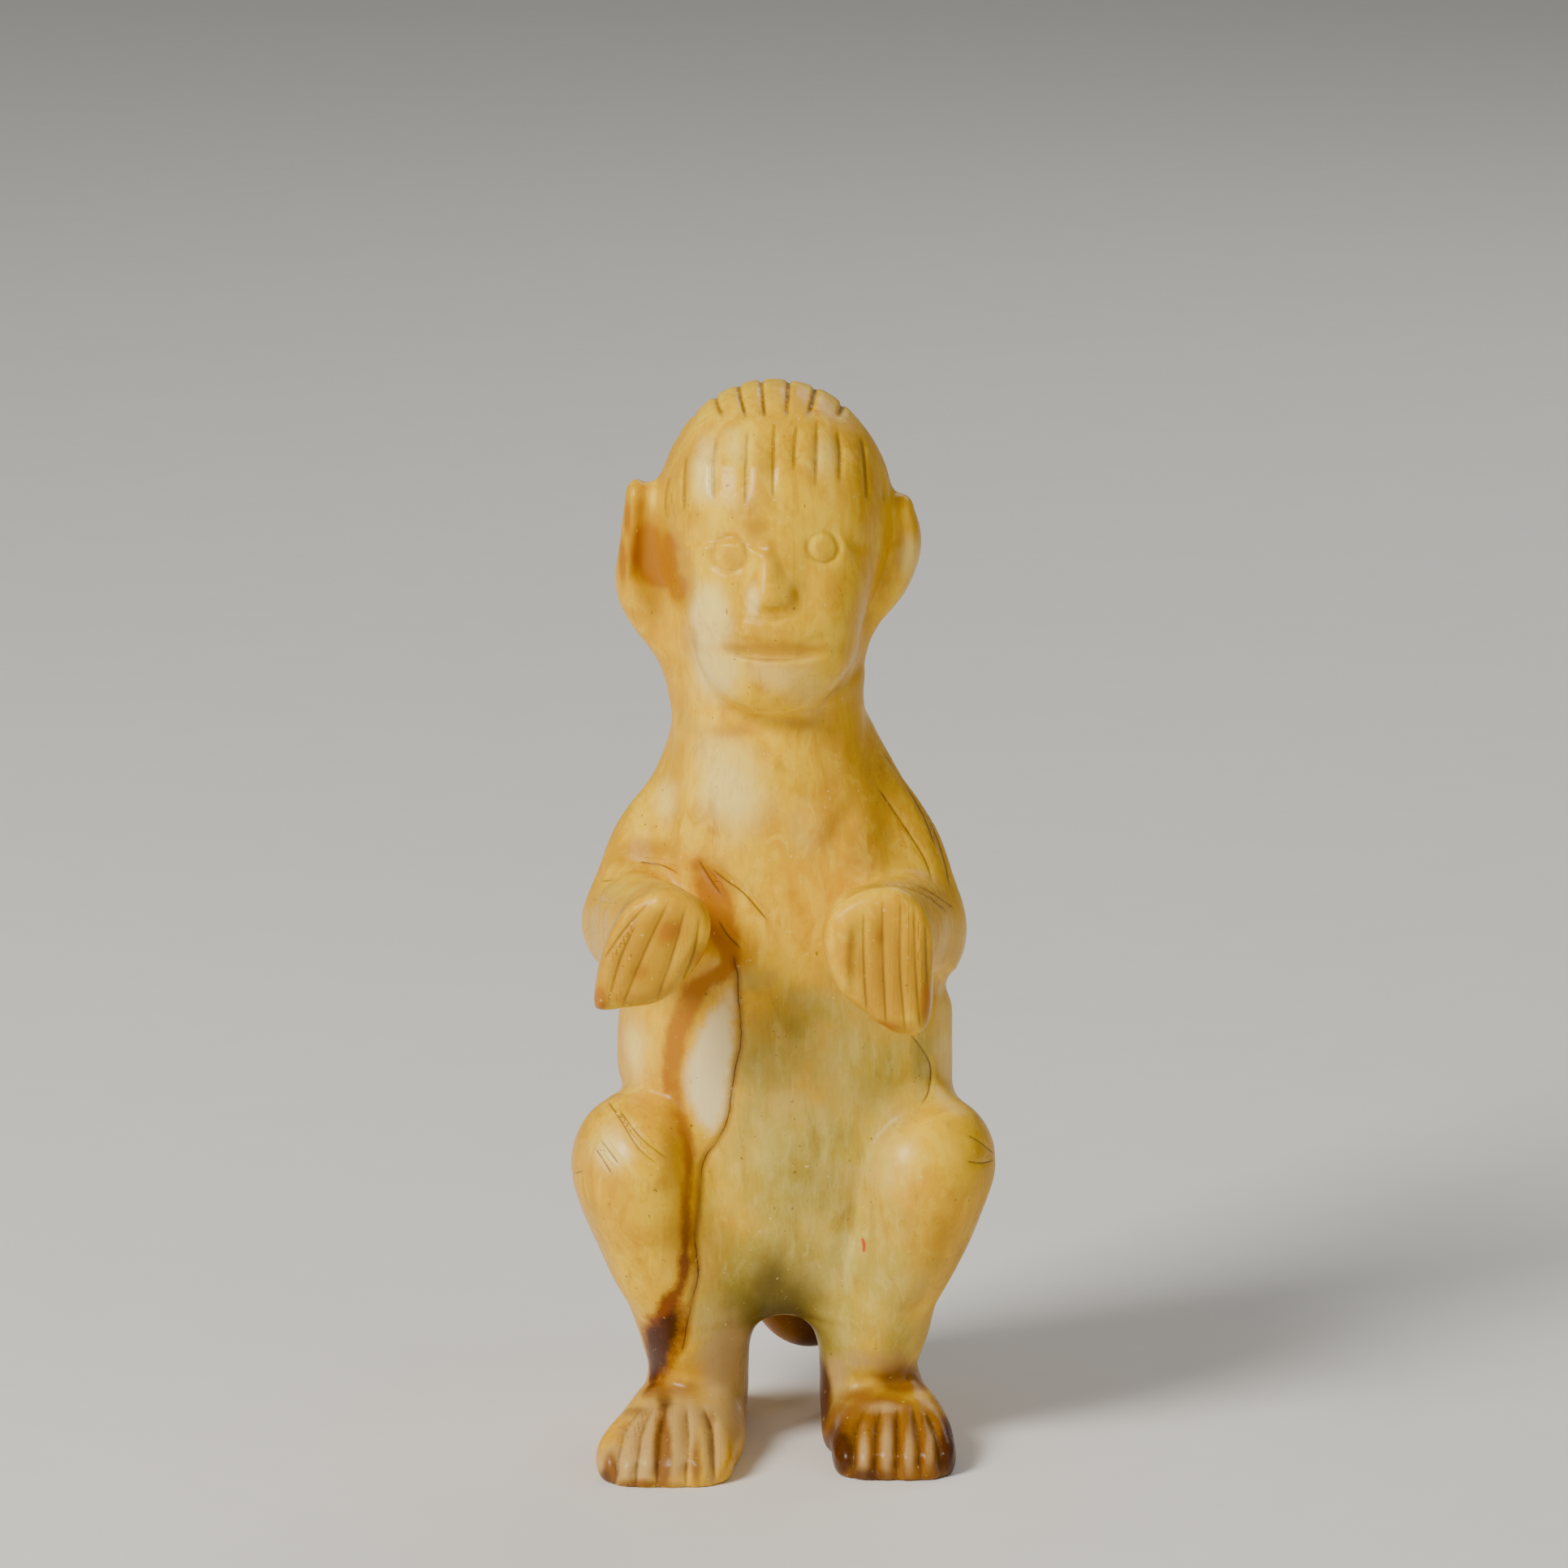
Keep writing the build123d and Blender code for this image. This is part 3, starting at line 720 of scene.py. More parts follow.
PAW_LINES = (
    ((800, 1112), (772, 1142), (743, 1182)),
    ((826, 1106), (800, 1160), (770, 1232), (767, 1246)),
    ((846, 1112), (830, 1172), (808, 1236)),
    ((862, 1128), (856, 1170), (840, 1212)),
    ((785, 1135), (765, 1180), (748, 1240)),
    ((1064, 1120), (1064, 1180), (1068, 1250)),
    ((1087, 1105), (1088, 1180), (1092, 1270)),
    ((1110, 1103), (1109, 1190), (1116, 1278)),
    ((1126, 1112), (1128, 1190), (1134, 1272)),
    ((1140, 1137), (1142, 1216)),
)
THUMB_EDGE = ((1048, 1232), (1046, 1190), (1050, 1130))


def carve_paws(stone):
    for line in PAW_LINES:
        stone.groove(line, width=0.4, depth=0.12, depths=PAW_DEPTHS, fill=0.2)
        stone.groove(line, width=0.18, depth=0.1, depths=PAW_DEPTHS, taper=0.1, fill=0.3, ink=0.5)
    stone.ledge(THUMB_EDGE, rise=0.5, width=0.25, reach=1.2, depths=PAW_DEPTHS)


TOE_LINES = (
    ((790, 1736), (768, 1772), (757, 1832)),
    ((805, 1733), (790, 1772), (782, 1836)),
    ((822, 1731), (814, 1775), (809, 1836)),
    ((845, 1731), (848, 1775), (844, 1836)),
    ((866, 1733), (878, 1768), (880, 1826)),
    ((1066, 1734), (1054, 1775), (1051, 1826)),
    ((1086, 1731), (1080, 1775), (1079, 1830)),
    ((1106, 1730), (1106, 1775), (1104, 1830)),
    ((1124, 1732), (1132, 1775), (1135, 1826)),
    ((1140, 1738), (1155, 1775), (1160, 1822)),
)
ANKLE_LINES = (
    ((796, 1702), (830, 1713), (869, 1716), (890, 1708)),
    ((1040, 1704), (1060, 1700), (1095, 1706), (1130, 1712)),
)


def carve_feet(stone):
    for line in TOE_LINES:
        stone.groove(line, width=0.5, depth=0.42, depths=FOOT_DEPTHS, fill=0.35)
        stone.groove(line, width=0.17, depth=0.2, depths=FOOT_DEPTHS, fill=0.3, ink=0.5, ink_width=0.12)
    for line in ANKLE_LINES:
        stone.groove(line, width=0.6, depth=0.3, depths=ANKLE_DEPTHS, fill=0.2)


BODY_FOLDS = (
    ((828, 1341), (844, 1394), (852, 1450), (856, 1525), (864, 1590)),
    ((1187, 1349), (1130, 1374), (1085, 1400), (1062, 1450), (1048, 1520), (1020, 1600)),
    ((1019, 1058), (1035, 1020), (1051, 995)),
    ((1150, 1220), (1168, 1214), (1184, 1198)),
    ((745, 1348), (762, 1340), (790, 1346), (828, 1360)),
)
FINE_LINES = (
    ((746, 1353), (765, 1380), (787, 1415), (811, 1435)),
    ((762, 1366), (790, 1402), (822, 1428)),
    ((734, 1415), (745, 1432), (754, 1447)),
    ((740, 1404), (752, 1420), (762, 1434)),
    ((703, 1447), (718, 1443)),
    ((1191, 1398), (1208, 1408), (1227, 1424)),
    ((1191, 1431), (1210, 1433), (1226, 1429)),
    ((739, 1086), (775, 1084), (810, 1093)),
    ((786, 1062), (815, 1066), (838, 1078)),
    ((729, 1107), (750, 1113), (768, 1111)),
    ((719, 1150), (730, 1140), (742, 1132)),
    ((722, 1160), (734, 1150), (744, 1146)),
    ((1083, 920), (1112, 962), (1138, 1006), (1154, 1048)),
    ((1079, 967), (1105, 1005), (1138, 1056), (1150, 1090)),
    ((1100, 940), (1136, 990), (1160, 1050), (1172, 1100)),
    ((1059, 1095), (1106, 1092), (1142, 1105), (1172, 1128)),
    ((1128, 1090), (1150, 1102), (1176, 1120)),
    ((885, 1133), (895, 1150), (913, 1169)),
    ((877, 1070), (895, 1085), (917, 1101), (948, 1137)),
    ((861, 1060), (876, 1084), (890, 1104)),
    ((1120, 1272), (1134, 1290), (1146, 1313), (1144, 1345), (1134, 1362)),
)
CRACK = (
    (902, 1172), (908, 1200), (911, 1240), (913, 1280), (905, 1321), (897, 1378), (885, 1402),
    (866, 1435), (860, 1492), (856, 1525), (860, 1566), (852, 1607), (844, 1647), (840, 1672),
)


def carve_body(stone):
    for line in BODY_FOLDS:
        stone.groove(line, width=0.9, depth=0.35, depths=BODY_DEPTHS)
    for line in FINE_LINES:
        stone.groove(line, width=0.2, depth=0.1, depths=BODY_DEPTHS, ink=0.7, ink_width=0.07)
    stone.groove(CRACK, width=0.25, depth=0.12, depths=BODY_DEPTHS)


# Slow waves that a hand-held tool leaves: their directions, lengths and heights in millimetres
WAVES = (
    ((0.9, 0.2, 0.4), 13.0, 0.07),
    ((-0.3, 0.8, 0.5), 9.0, 0.05),
    ((0.2, -0.4, 0.9), 7.0, 0.04),
    ((0.7, -0.6, -0.3), 4.6, 0.02),
    ((0.1, 0.7, -0.7), 3.4, 0.014),
)


def carve_waves(stone):
    for order, (direction, length, height) in enumerate(WAVES):
        direction = np.array(direction) / np.linalg.norm(direction)
        stone.distance += height * np.sin(stone.points @ direction * math.tau / length + order)


def carve(points):
    stone = Stone(points)
    shape_trunk(stone)
    for side in (RIGHT, LEFT):
        shape_leg(stone, side)
        shape_foot(stone, side)
        shape_arm(stone, side)
        shape_paw(stone, side)
    shape_head(stone)
    for side in (RIGHT, LEFT):
        shape_ear(stone, side)
    shape_tail(stone)
    carve_waves(stone)
    carve_face(stone)
    carve_hair(stone)
    carve_paws(stone)
    carve_feet(stone)
    carve_body(stone)
    stone.distance = np.maximum(stone.distance, -points[:, 2])
    return np.stack([stone.distance, stone.incised, stone.ink_side, stone.ink_near])


def stone_values(points):
    """Signed distance, how deeply incised, ink side and ink strength at many points."""
    pieces = np.array_split(points, max(1, len(points) // CHUNK))
    with ThreadPoolExecutor(WORKERS) as crew:
        return np.concatenate(list(crew.map(carve, pieces)), axis=1)


def stone_distance(points):
    return stone_values(points)[0]


def stone_surface():
    """Vertices, in millimetres, and faces of the stone's surface."""
    counts = np.ceil((GRID_HIGH - GRID_LOW) / COARSE_PITCH).astype(int)
    cells = np.stack(np.meshgrid(*[np.arange(n) for n in counts], indexing="ij"), axis=-1).reshape(-1, 3)
    coarse = stone_distance(GRID_LOW + (cells + 0.5) * COARSE_PITCH)
    cells = cells[np.abs(coarse) < COARSE_CATCH]
    steps = np.stack(np.meshgrid(*[np.arange(FINE_STEPS)] * 3, indexing="ij"), axis=-1).reshape(-1, 3)
    fine = (cells[:, None, :] * FINE_STEPS + steps[None, :, :]).reshape(-1, 3)
    field = coarse.reshape(counts).astype(np.float32)
    for axis in range(3):
        field = np.repeat(field, FINE_STEPS, axis)
    field[fine[:, 0], fine[:, 1], fine[:, 2]] = stone_distance(GRID_LOW + fine * FINE_PITCH)
    grid = openvdb.FloatGrid(background=FAR)
    grid.copyFromArray(field)
    points, quads = grid.convertToQuads(isovalue=0.0)
    return GRID_LOW + points * FINE_PITCH, quads


PROBES = np.array([(1, 1, 1), (1, -1, -1), (-1, 1, -1), (-1, -1, 1)], dtype=float)
PROBE_REACH = 0.03
SETTLING_ROUNDS = 2
LEAST_SQUARE_SLOPE = 0.04


def stone_slope(points):
    """The direction in which the signed distance grows, with its steepness."""
    slope = np.zeros_like(points)
    for probe in PROBES:
        slope += stone_distance(points + probe * PROBE_REACH)[:, None] * probe
    return slope / (len(PROBES) * PROBE_REACH)


def settle(points):
    """Moves points along the slope until they lie on the surface."""
    for _ in range(SETTLING_ROUNDS):
        slope = stone_slope(points)
        square = np.maximum((slope ** 2).sum(axis=1), LEAST_SQUARE_SLOPE)
        move = -stone_distance(points)[:, None] * slope / square[:, None]
        length = np.linalg.norm(move, axis=1, keepdims=True)
        points = points + move * np.minimum(1, FINE_PITCH / np.maximum(length, TINY))
    return points


# Colour of the stone, and some painted shade and highlights, painted where the photograph shows them. A
# soft spot is given by its middle, across and down, its reach, across and down, and its strength.
# Orange stone; the two spots under the chin paint shade there as well as stain.
ORANGE_AND_SHADE_SPOTS = (
    (795, 672, 32, 46, 1.35), (815, 700, 36, 34, 1.5), (836, 722, 18, 30, 1.4), (785, 636, 16, 44, 0.9),
    (828, 672, 22, 30, 1.05), (806, 738, 36, 34, 0.8), (846, 640, 44, 26, 0.55), (930, 650, 20, 16, 0.7),
    (948, 676, 14, 20, 0.75), (962, 695, 14, 30, 0.55), (940, 575, 18, 30, 0.62),
    (800, 1046, 50, 18, 0.8), (766, 1060, 30, 12, 0.6), (880, 1092, 24, 34, 0.95),
    (1065, 760, 18, 32, 0.5), (1080, 715, 22, 22, 0.45), (925, 892, 46, 12, 0.5),
    (985, 890, 30, 12, 0.45), (1064, 850, 14, 34, 0.5), (1158, 1520, 26, 50, 0.62),
    (826, 1430, 20, 80, 0.7), (728, 1450, 16, 50, 0.5), (767, 690, 7, 50, 1.2), (773, 640, 8, 44, 1.2),
    (850, 790, 12, 40, 0.45), (830, 1520, 20, 60, 0.5),
)
# Pale stone, and painted highlights: on the viewer's left of the forehead, cheek and chest, on the left
# facet of the nose and on the knees.
PALE_AND_HIGHLIGHT_SPOTS = (
    (872, 775, 24, 60, 1.2), (885, 830, 34, 36, 1.05), (868, 580, 18, 46, 0.9),
    (1012, 570, 26, 34, 0.45), (905, 550, 16, 34, 0.45), (928, 742, 10, 22, 1), (895, 1660, 24, 40, 0.7),
    (898, 970, 46, 66, 0.95), (1000, 1020, 34, 64, 0.4), (1118, 682, 12, 30, 0.8),
    (960, 1360, 70, 40, 0.55), (752, 1415, 34, 40, 0.75), (1100, 1440, 44, 54, 0.5),
    (900, 1630, 30, 60, 0.5), (1000, 850, 44, 44, 0.4), (782, 1300, 20, 50, 0.7),
    (1160, 1290, 22, 60, 0.45), (958, 830, 70, 30, 0.5), (880, 1200, 28, 26, 0.7),
    (820, 985, 18, 46, 0.6), (1040, 1660, 30, 30, 0.5), (800, 1790, 50, 40, 0.5),
)
# Olive stone, and painted shade: where this value passes 0.7 it darkens to the arch shade, most over the
# arch between the legs, under the belly.
OLIVE_AND_SHADE_SPOTS = (
    (985, 1450, 120, 130, 0.95), (965, 1600, 120, 80, 1.1), (1010, 1240, 80, 34, 0.7),
    (1070, 1560, 80, 120, 0.85), (1060, 1330, 90, 100, 0.75), (1134, 1310, 18, 60, 0.9),
    (930, 1205, 50, 26, 0.5), (1040, 1200, 40, 40, 0.6), (900, 1560, 50, 110, 0.65),
    (1110, 1640, 50, 50, 0.7), (1000, 1040, 60, 30, 0.3), (900, 1680, 40, 40, 0.5),
    (962, 1640, 92, 116, 2), (950, 1590, 50, 80, 1.8), (1040, 1560, 34, 80, 1), (950, 1310, 60, 60, 0.8),
    (975, 1268, 60, 40, 0.75),
)
BROWN_SPOTS = (
    (1095, 1778, 110, 70, 1.3), (1060, 1722, 44, 20, 0.8), (1118, 1700, 44, 26, 1),
    (835, 1712, 66, 16, 0.6), (1014, 1720, 18, 44, 0.9), (918, 1735, 10, 30, 0.8),
)
FOOT_STRIPES = (
    (816, 1790, 13, 60, 1.2), (858, 1800, 9, 44, 0.8), (876, 1780, 7, 50, 0.6), (752, 1812, 10, 30, 0.9),
    (795, 1830, 50, 9, 0.8), (784, 1740, 26, 12, 0.6), (1078, 1790, 5, 44, 0.8),
    (1106, 1790, 5, 44, 0.8), (1134, 1785, 5, 40, 0.8),
)
DARK_SPOTS = (
    (1034, 1790, 22, 36, 1), (1172, 1785, 18, 44, 1), (1012, 1712, 14, 50, 1), (742, 1822, 12, 16, 0.6),
    (1070, 1818, 44, 12, 0.6), (818, 1726, 14, 20, 0.6),
)
PAW_TAN_SPOTS = (
    (790, 1200, 80, 70, 0.95), (1098, 1215, 70, 90, 0.95), (840, 1120, 40, 30, 0.4),
)
# Tan stone, and painted shade: in the mouth, on the right of the nose, in the eye sockets and under the
# chin.
TAN_AND_SHADE_SPOTS = (
    (957, 800, 78, 11, 0.95), (976, 738, 12, 26, 0.62), (918, 900, 50, 10, 0.7),
    (899, 688, 20, 20, 0.55), (1014, 682, 18, 18, 0.5), (880, 1560, 16, 70, 0.5),
    (860, 1690, 60, 30, 0.6),
)
# Beige stone, and painted highlights on the ridges between the grooves of the viewer-right toes.
BEIGE_AND_HIGHLIGHT_SPOTS = (
    (815, 1775, 66, 60, 1.1), (880, 1770, 22, 60, 1), (760, 1800, 30, 40, 0.9),
    (1064, 1790, 8, 36, 0.75), (1093, 1782, 9, 44, 0.8), (1120, 1786, 7, 36, 0.7),
    (1146, 1780, 7, 30, 0.6), (1090, 1735, 34, 10, 0.6), (1030, 1690, 24, 30, 0.9),
    (890, 1680, 36, 70, 1), (905, 1750, 20, 40, 1), (1060, 1676, 60, 22, 0.7),
)
PAW_ORANGE_SPOTS = (
    (825, 1148, 34, 30, 1.15), (790, 1200, 26, 24, 0.9), (862, 1180, 18, 34, 1),
    (1140, 1235, 12, 44, 1.3), (1085, 1150, 16, 26, 0.8), (738, 1232, 14, 26, 1.5),
    (1092, 1266, 40, 14, 1.3), (1120, 1190, 12, 50, 0.8),
)
BODY_ORANGE_VEIN = (
    (862, 1068), (880, 1110), (893, 1150), (899, 1188), (876, 1206), (856, 1222), (842, 1250),
    (832, 1290), (828, 1341), (842, 1385), (849, 1423), (845, 1484), (845, 1533), (840, 1582),
    (824, 1606), (812, 1640), (806, 1690),
)
BODY_VEIN_HALF_WIDTHS = (
    0.5, 1.1, 1, 0.6, 0.6, 0.75, 0.7, 0.65, 0.42, 0.32, 0.3, 0.3, 0.3, 0.34, 0.5, 0.8, 0.5,
)
CREAM_PATCH = (
    (903, 1212), (911, 1240), (911, 1290), (904, 1330), (896, 1372), (884, 1398), (866, 1396),
    (846, 1372), (834, 1335), (842, 1296), (860, 1262), (880, 1232),
)
ANKLE_PATCH = (
    (803, 1631), (828, 1608), (842, 1622), (833, 1655), (821, 1688), (799, 1713), (790, 1700),
    (791, 1672), (792, 1643),
)
RED_FLECK = ((1063, 1527), (1065, 1534), (1064, 1542))
RED_FLECK_WIDTH = 0.16
BODY_SPOTS = {
    "orange": ORANGE_AND_SHADE_SPOTS, "pale": PALE_AND_HIGHLIGHT_SPOTS, "olive": OLIVE_AND_SHADE_SPOTS, "brown": BROWN_SPOTS,
    "stripes": FOOT_STRIPES, "dark": DARK_SPOTS, "tan": TAN_AND_SHADE_SPOTS, "beige": BEIGE_AND_HIGHLIGHT_SPOTS,
}
PAW_SPOTS = {"orange": PAW_ORANGE_SPOTS, "tan": PAW_TAN_SPOTS}
PAW_HEIGHTS = (30, 50)

# Paint shows where the stone faces the camera. A pair is where it starts and where it is full.
SHOWN_FACING = (-0.25, 0.15)
LINE_FACING = (0.15, 0.4)
EDGE_FACING = (0.05, 0.3)
SHOWN_DEPTH = 7.0
HAIR_HEIGHT = 50
HAIR_DEPTH_FROM = -3
# Deeper gold where the surface turns sideways: painted shade at the sides
SHADED_SIDE_FACING = (0.5, 0.98)
PAINT_REACH = 2

# Colours that the photograph doesn't show, carried on behind: their strength and their fades
BACK_COLOURS = (
    ("olive", 0.4, ((Z, 10, 18), (Z, 40, 24), (Y, 12.5, 11.5))),
    ("pale", 0.2, ()),
    ("brown", 0.48, ((Z, 9, 2),)),
    ("brown", 0.32, ((Z, 9, 2), (X, 0, TINY))),
    ("dark", 0.15, ((Z, 5, 0),)),
    ("dark", 0.35, ((Z, 5, 0), (X, 0, TINY))),
)
TAIL_COLOURS = (
    ("brown", 1.1, ((Y, 9.8, 11.2), (Z, 15, 6))),
    ("dark", 0.55, ((Y, 9.8, 11.2), (Z, 15, 6), (X, -1, 2))),
)
TEMPLE_SPOTS = ((-7, 64, 4, 4, 0.5),)

# The vein up the back, as X and Z from top to bottom, and where it fades at either end
BACK_VEIN = ((3.5, 58), (5, 50), (3, 41), (6, 33), (4, 25), (7, 14))
BACK_VEIN_HALF_WIDTH = 0.3
BACK_VEIN_FADES = ((Z, 14, 24), (Z, 58, 46))
BACK_VEIN_DEPTH = 4
VEIN_DARKENS_DOWN = (1370, 1560)
CRACK_REACH = (0.5, 0.8)
CRACK_END_SHARE = 0.03
PATH_STEPS = 4


def spots_at(across, down, spots):
    total = np.zeros(len(across))
    for right, below, wide, tall, strength in spots:
        spot = np.exp(-((across - right) / wide) ** 2 - ((down - below) / tall) ** 2)
        total = np.maximum(total, strength * spot)
    return total


class Skin:
    """The stone's vertices and how the photograph shows them."""

    def __init__(self, points, normals):
        self.points = points
        self.x, self.y, self.z = points.T
        self.across, self.down = photo_place(points)
        rise, run = math.sin(CAMERA_ELEVATION), math.cos(CAMERA_ELEVATION)
        self.toward = normals[:, 2] * rise - normals[:, 1] * run
        self.sideways = np.abs(normals[:, 0])
        low, high = PAW_HEIGHTS
        self.paws = (self.y < PAW_DEPTHS[1]) & (self.z > low) & (self.z < high)
        seen = ease(self.toward, *SHOWN_FACING) * (self.y < SHOWN_DEPTH)
        self.body = np.where(self.paws, 0.0, seen)
        self.behind = 1 - seen
        self.turned_away = PAINT_REACH * (1 - ease(self.toward * self.body, *EDGE_FACING))


def line_paint(skin):
    _, incised, ink_side, ink_near = stone_values(skin.points)
    hair = (skin.z > HAIR_HEIGHT) & (skin.y > HAIR_DEPTH_FROM)
    shown = np.where(hair, 1.0, ease(skin.toward, *LINE_FACING))
    crack, along = line_reach(skin.across, skin.down, smooth_path(CRACK, PATH_STEPS))
    crack_near = (1 - ease(np.abs(crack), *CRACK_REACH)) * skin.body
    fleck, _ = line_reach(skin.across, skin.down, RED_FLECK)
    return {
        "incised": incised,
        "ink_side": ink_side,
        "ink_near": ink_near * shown,
        "crack_side": np.clip(crack, -1, 1),
        "crack_near": crack_near * ease(np.minimum(along, 1 - along), 0, CRACK_END_SHARE),
        "fleck": np.exp(-(fleck / RED_FLECK_WIDTH) ** 2) * (skin.body > 0.5),
    }


def spot_paint(skin):
    paint = {}
    for name, spots in BODY_SPOTS.items():
        paint[name] = skin.body * spots_at(skin.across, skin.down, spots)
    for name, spots in PAW_SPOTS.items():
        paint[name] += skin.paws * spots_at(skin.across, skin.down, spots)
    for name, strength, fades in BACK_COLOURS:
        paint[name] += skin.behind * strength * faded(skin.points, fades)
    for name, strength, fades in TAIL_COLOURS:
        paint[name] += strength * faded(skin.points, fades)
    paint["orange"] += skin.behind * spots_at(skin.x, skin.z, TEMPLE_SPOTS)
    # Painted shade: deeper gold where the surface turns sideways
    paint["side"] = ease(skin.sideways, *SHADED_SIDE_FACING)
    return paint


def vein_paint(skin):
    away, along = line_reach(skin.across, skin.down, smooth_path(BODY_ORANGE_VEIN, PATH_STEPS))
    shares = np.linspace(0, 1, len(BODY_VEIN_HALF_WIDTHS))
    front = np.abs(away) - np.interp(along, shares, BODY_VEIN_HALF_WIDTHS) + skin.turned_away
    places, heights = np.array(BACK_VEIN)[::-1].T
    back = np.abs(skin.x - np.interp(skin.z, heights, places)) - BACK_VEIN_HALF_WIDTH
    fade = 1 - faded(skin.points, BACK_VEIN_FADES)
    on_back = (skin.behind > 0.5) & (skin.y > BACK_VEIN_DEPTH)
    back = np.where(on_back, back + PAINT_REACH * fade, FAR)
    return {
        "vein": np.clip(np.minimum(front, back), -PAINT_REACH, PAINT_REACH),
        "vein_depth": ease(skin.down, *VEIN_DARKENS_DOWN) * skin.body,
    }


def patch_paint(skin):
    paint = {}
    for name, outline in (("cream", CREAM_PATCH), ("ankle", ANKLE_PATCH)):
        reach = outline_reach(skin.across, skin.down, rounded_outline(outline))
        paint[name] = np.clip(reach + skin.turned_away, -PAINT_REACH, PAINT_REACH)
    return paint


FLOOR_SNAP = 0.05


def make_stone(material):
    points, quads = stone_surface()
    points = settle(points)
    normals = stone_slope(points)
    normals /= np.maximum(np.linalg.norm(normals, axis=1, keepdims=True), TINY)
    standing = points[:, 2] < FLOOR_SNAP
    normals[standing] = (0, 0, -1)
    points[standing, 2] = 0.0
    skin = Skin(points, normals)
    mesh = bpy.data.meshes.new("carved_stone")
    placed = points * FIT * MM + ORIGIN
    mesh.from_pydata(placed.tolist(), [], quads.tolist())
    mesh.update()
    mesh.shade_smooth()
    for paint in (line_paint(skin), spot_paint(skin), vein_paint(skin), patch_paint(skin)):
        for name, values in paint.items():
            layer = mesh.attributes.new(name, "FLOAT", "POINT")
            layer.data.foreach_set("value", np.asarray(values, dtype=np.float32))
    mesh.materials.append(material)
    stone = bpy.data.objects.new("carved_stone", mesh)
    bpy.context.scene.collection.objects.link(stone)
    return stone


# Places of the colour sockets on a mix node
MIX_FIRST = 6
MIX_SECOND = 7
MIX_RESULT = 2


class Recipe:
    """Builds a material's nodes one after another."""

    def __init__(self, name):
        self.material = bpy.data.materials.new(name)
        self.material.use_nodes = True
        self.nodes = self.material.node_tree.nodes
        self.links = self.material.node_tree.links
        self.shader = self.nodes["Principled BSDF"]
        self.place = self.nodes.new("ShaderNodeTexCoord").outputs["Object"]

    def put(self, node, inputs):
        """Links or sets a node's inputs."""
        for name, value in inputs.items():
            socket = node.inputs[name]
            if isinstance(value, bpy.types.NodeSocket):
                self.links.new(value, socket)
            elif socket.type == "RGBA":
                socket.default_value = (*value, 1)
            else:
                socket.default_value = value

    def made(self, kind, inputs, output, **settings):
        """One output of a new node, with its settings and inputs."""
        node = self.nodes.new(kind)
        for name, value in settings.items():
            setattr(node, name, value)
        self.put(node, inputs)
        return node.outputs[output]

    def math(self, operation, first, second=0.0):
        return self.made("ShaderNodeMath", {0: first, 1: second}, 0, operation=operation)

    def times(self, first, second):
        return self.math("MULTIPLY", first, second)

    def plus(self, first, second):
        return self.math("ADD", first, second)

    def value(self, name):
        return self.made("ShaderNodeAttribute", {}, "Fac", attribute_name=name)

    def noise(self, scale, detail, roughness, stretch=(1.0, 1.0, 1.0), distortion=0.0):
        place = self.made("ShaderNodeMapping", {"Vector": self.place, "Scale": stretch}, "Vector")
        sizes = {"Scale": scale, "Detail": detail, "Roughness": roughness, "Distortion": distortion}
        return self.made("ShaderNodeTexNoise", {"Vector": place, **sizes}, "Fac")

    def between(self, value, limits, ends=(0.0, 1.0)):
        """Goes smoothly from one end to the other while the value goes from limit to limit."""
        names = ("Value", "From Min", "From Max", "To Min", "To Max")
        inputs = dict(zip(names, (value, *limits, *ends)))
        return self.made("ShaderNodeMapRange", inputs, "Result", interpolation_type="SMOOTHSTEP")

    def mix(self, share, first, second):
        inputs = {"Factor": share, MIX_FIRST: first, MIX_SECOND: second}
        return self.made("ShaderNodeMix", inputs, MIX_RESULT, data_type="RGBA")


# Colours of the stone, and of its painted shade and highlights
HONEY = (0.78, 0.405, 0.0)
GOLD = (0.62, 0.308, 0.0)
BUTTER = (0.88, 0.53, 0.0)
SUNNY = (0.94, 0.635, 0.03)
CREAM = (0.95, 0.74, 0.23)
MIST_GREEN = (0.80, 0.64, 0.19)
OLIVE = (0.51, 0.385, 0.045)
DEEP_OLIVE = (0.25, 0.178, 0.005)
# The painted shade under the belly, over the arch between the legs
ARCH_SHADE = (0.115, 0.076, 0.005)
AMBER = (0.58, 0.295, 0.0)
ORANGE = (0.445, 0.165, 0.0)
RUSSET = (0.21, 0.044, 0.0)
TAN = (0.55, 0.27, 0.008)
BEIGE = (0.56, 0.35, 0.13)
BROWN = (0.225, 0.073, 0.005)
DARK_BROWN = (0.060, 0.012, 0.0)
MILKY = (0.90, 0.75, 0.40)
FILL_BROWN = (0.12, 0.045, 0.004)
RED = (0.60, 0.08, 0.02)

# Noises: scale per metre, detail, roughness, stretch along X, Y and Z, and distortion
NOISES = {
    "clouds": (95, 4, 0.6, (1.0, 1.0, 1.0), 0.4),
    "small_clouds": (260, 4, 0.6),
    "mottles": (480, 4, 0.62, (1.0, 1.0, 0.6), 0.8),
    "streaks": (420, 5, 0.65, (1.0, 1.0, 0.22)),
    "fine_streaks": (1500, 4, 0.7, (1.0, 1.0, 0.2), 0.6),
    "fibres": (700, 5, 0.7, (1.0, 0.6, 0.26), 2.0),
    "ragged": (700, 5, 0.7),
    "wander": (230, 3, 0.5),
    "specks": (2600, 2, 0.5),
    "pits": (1900, 2, 0.5),
    "marks": (1300, 4, 0.75, (1.0, 1.0, 0.2)),
    "dents": (500, 3, 0.6),
}

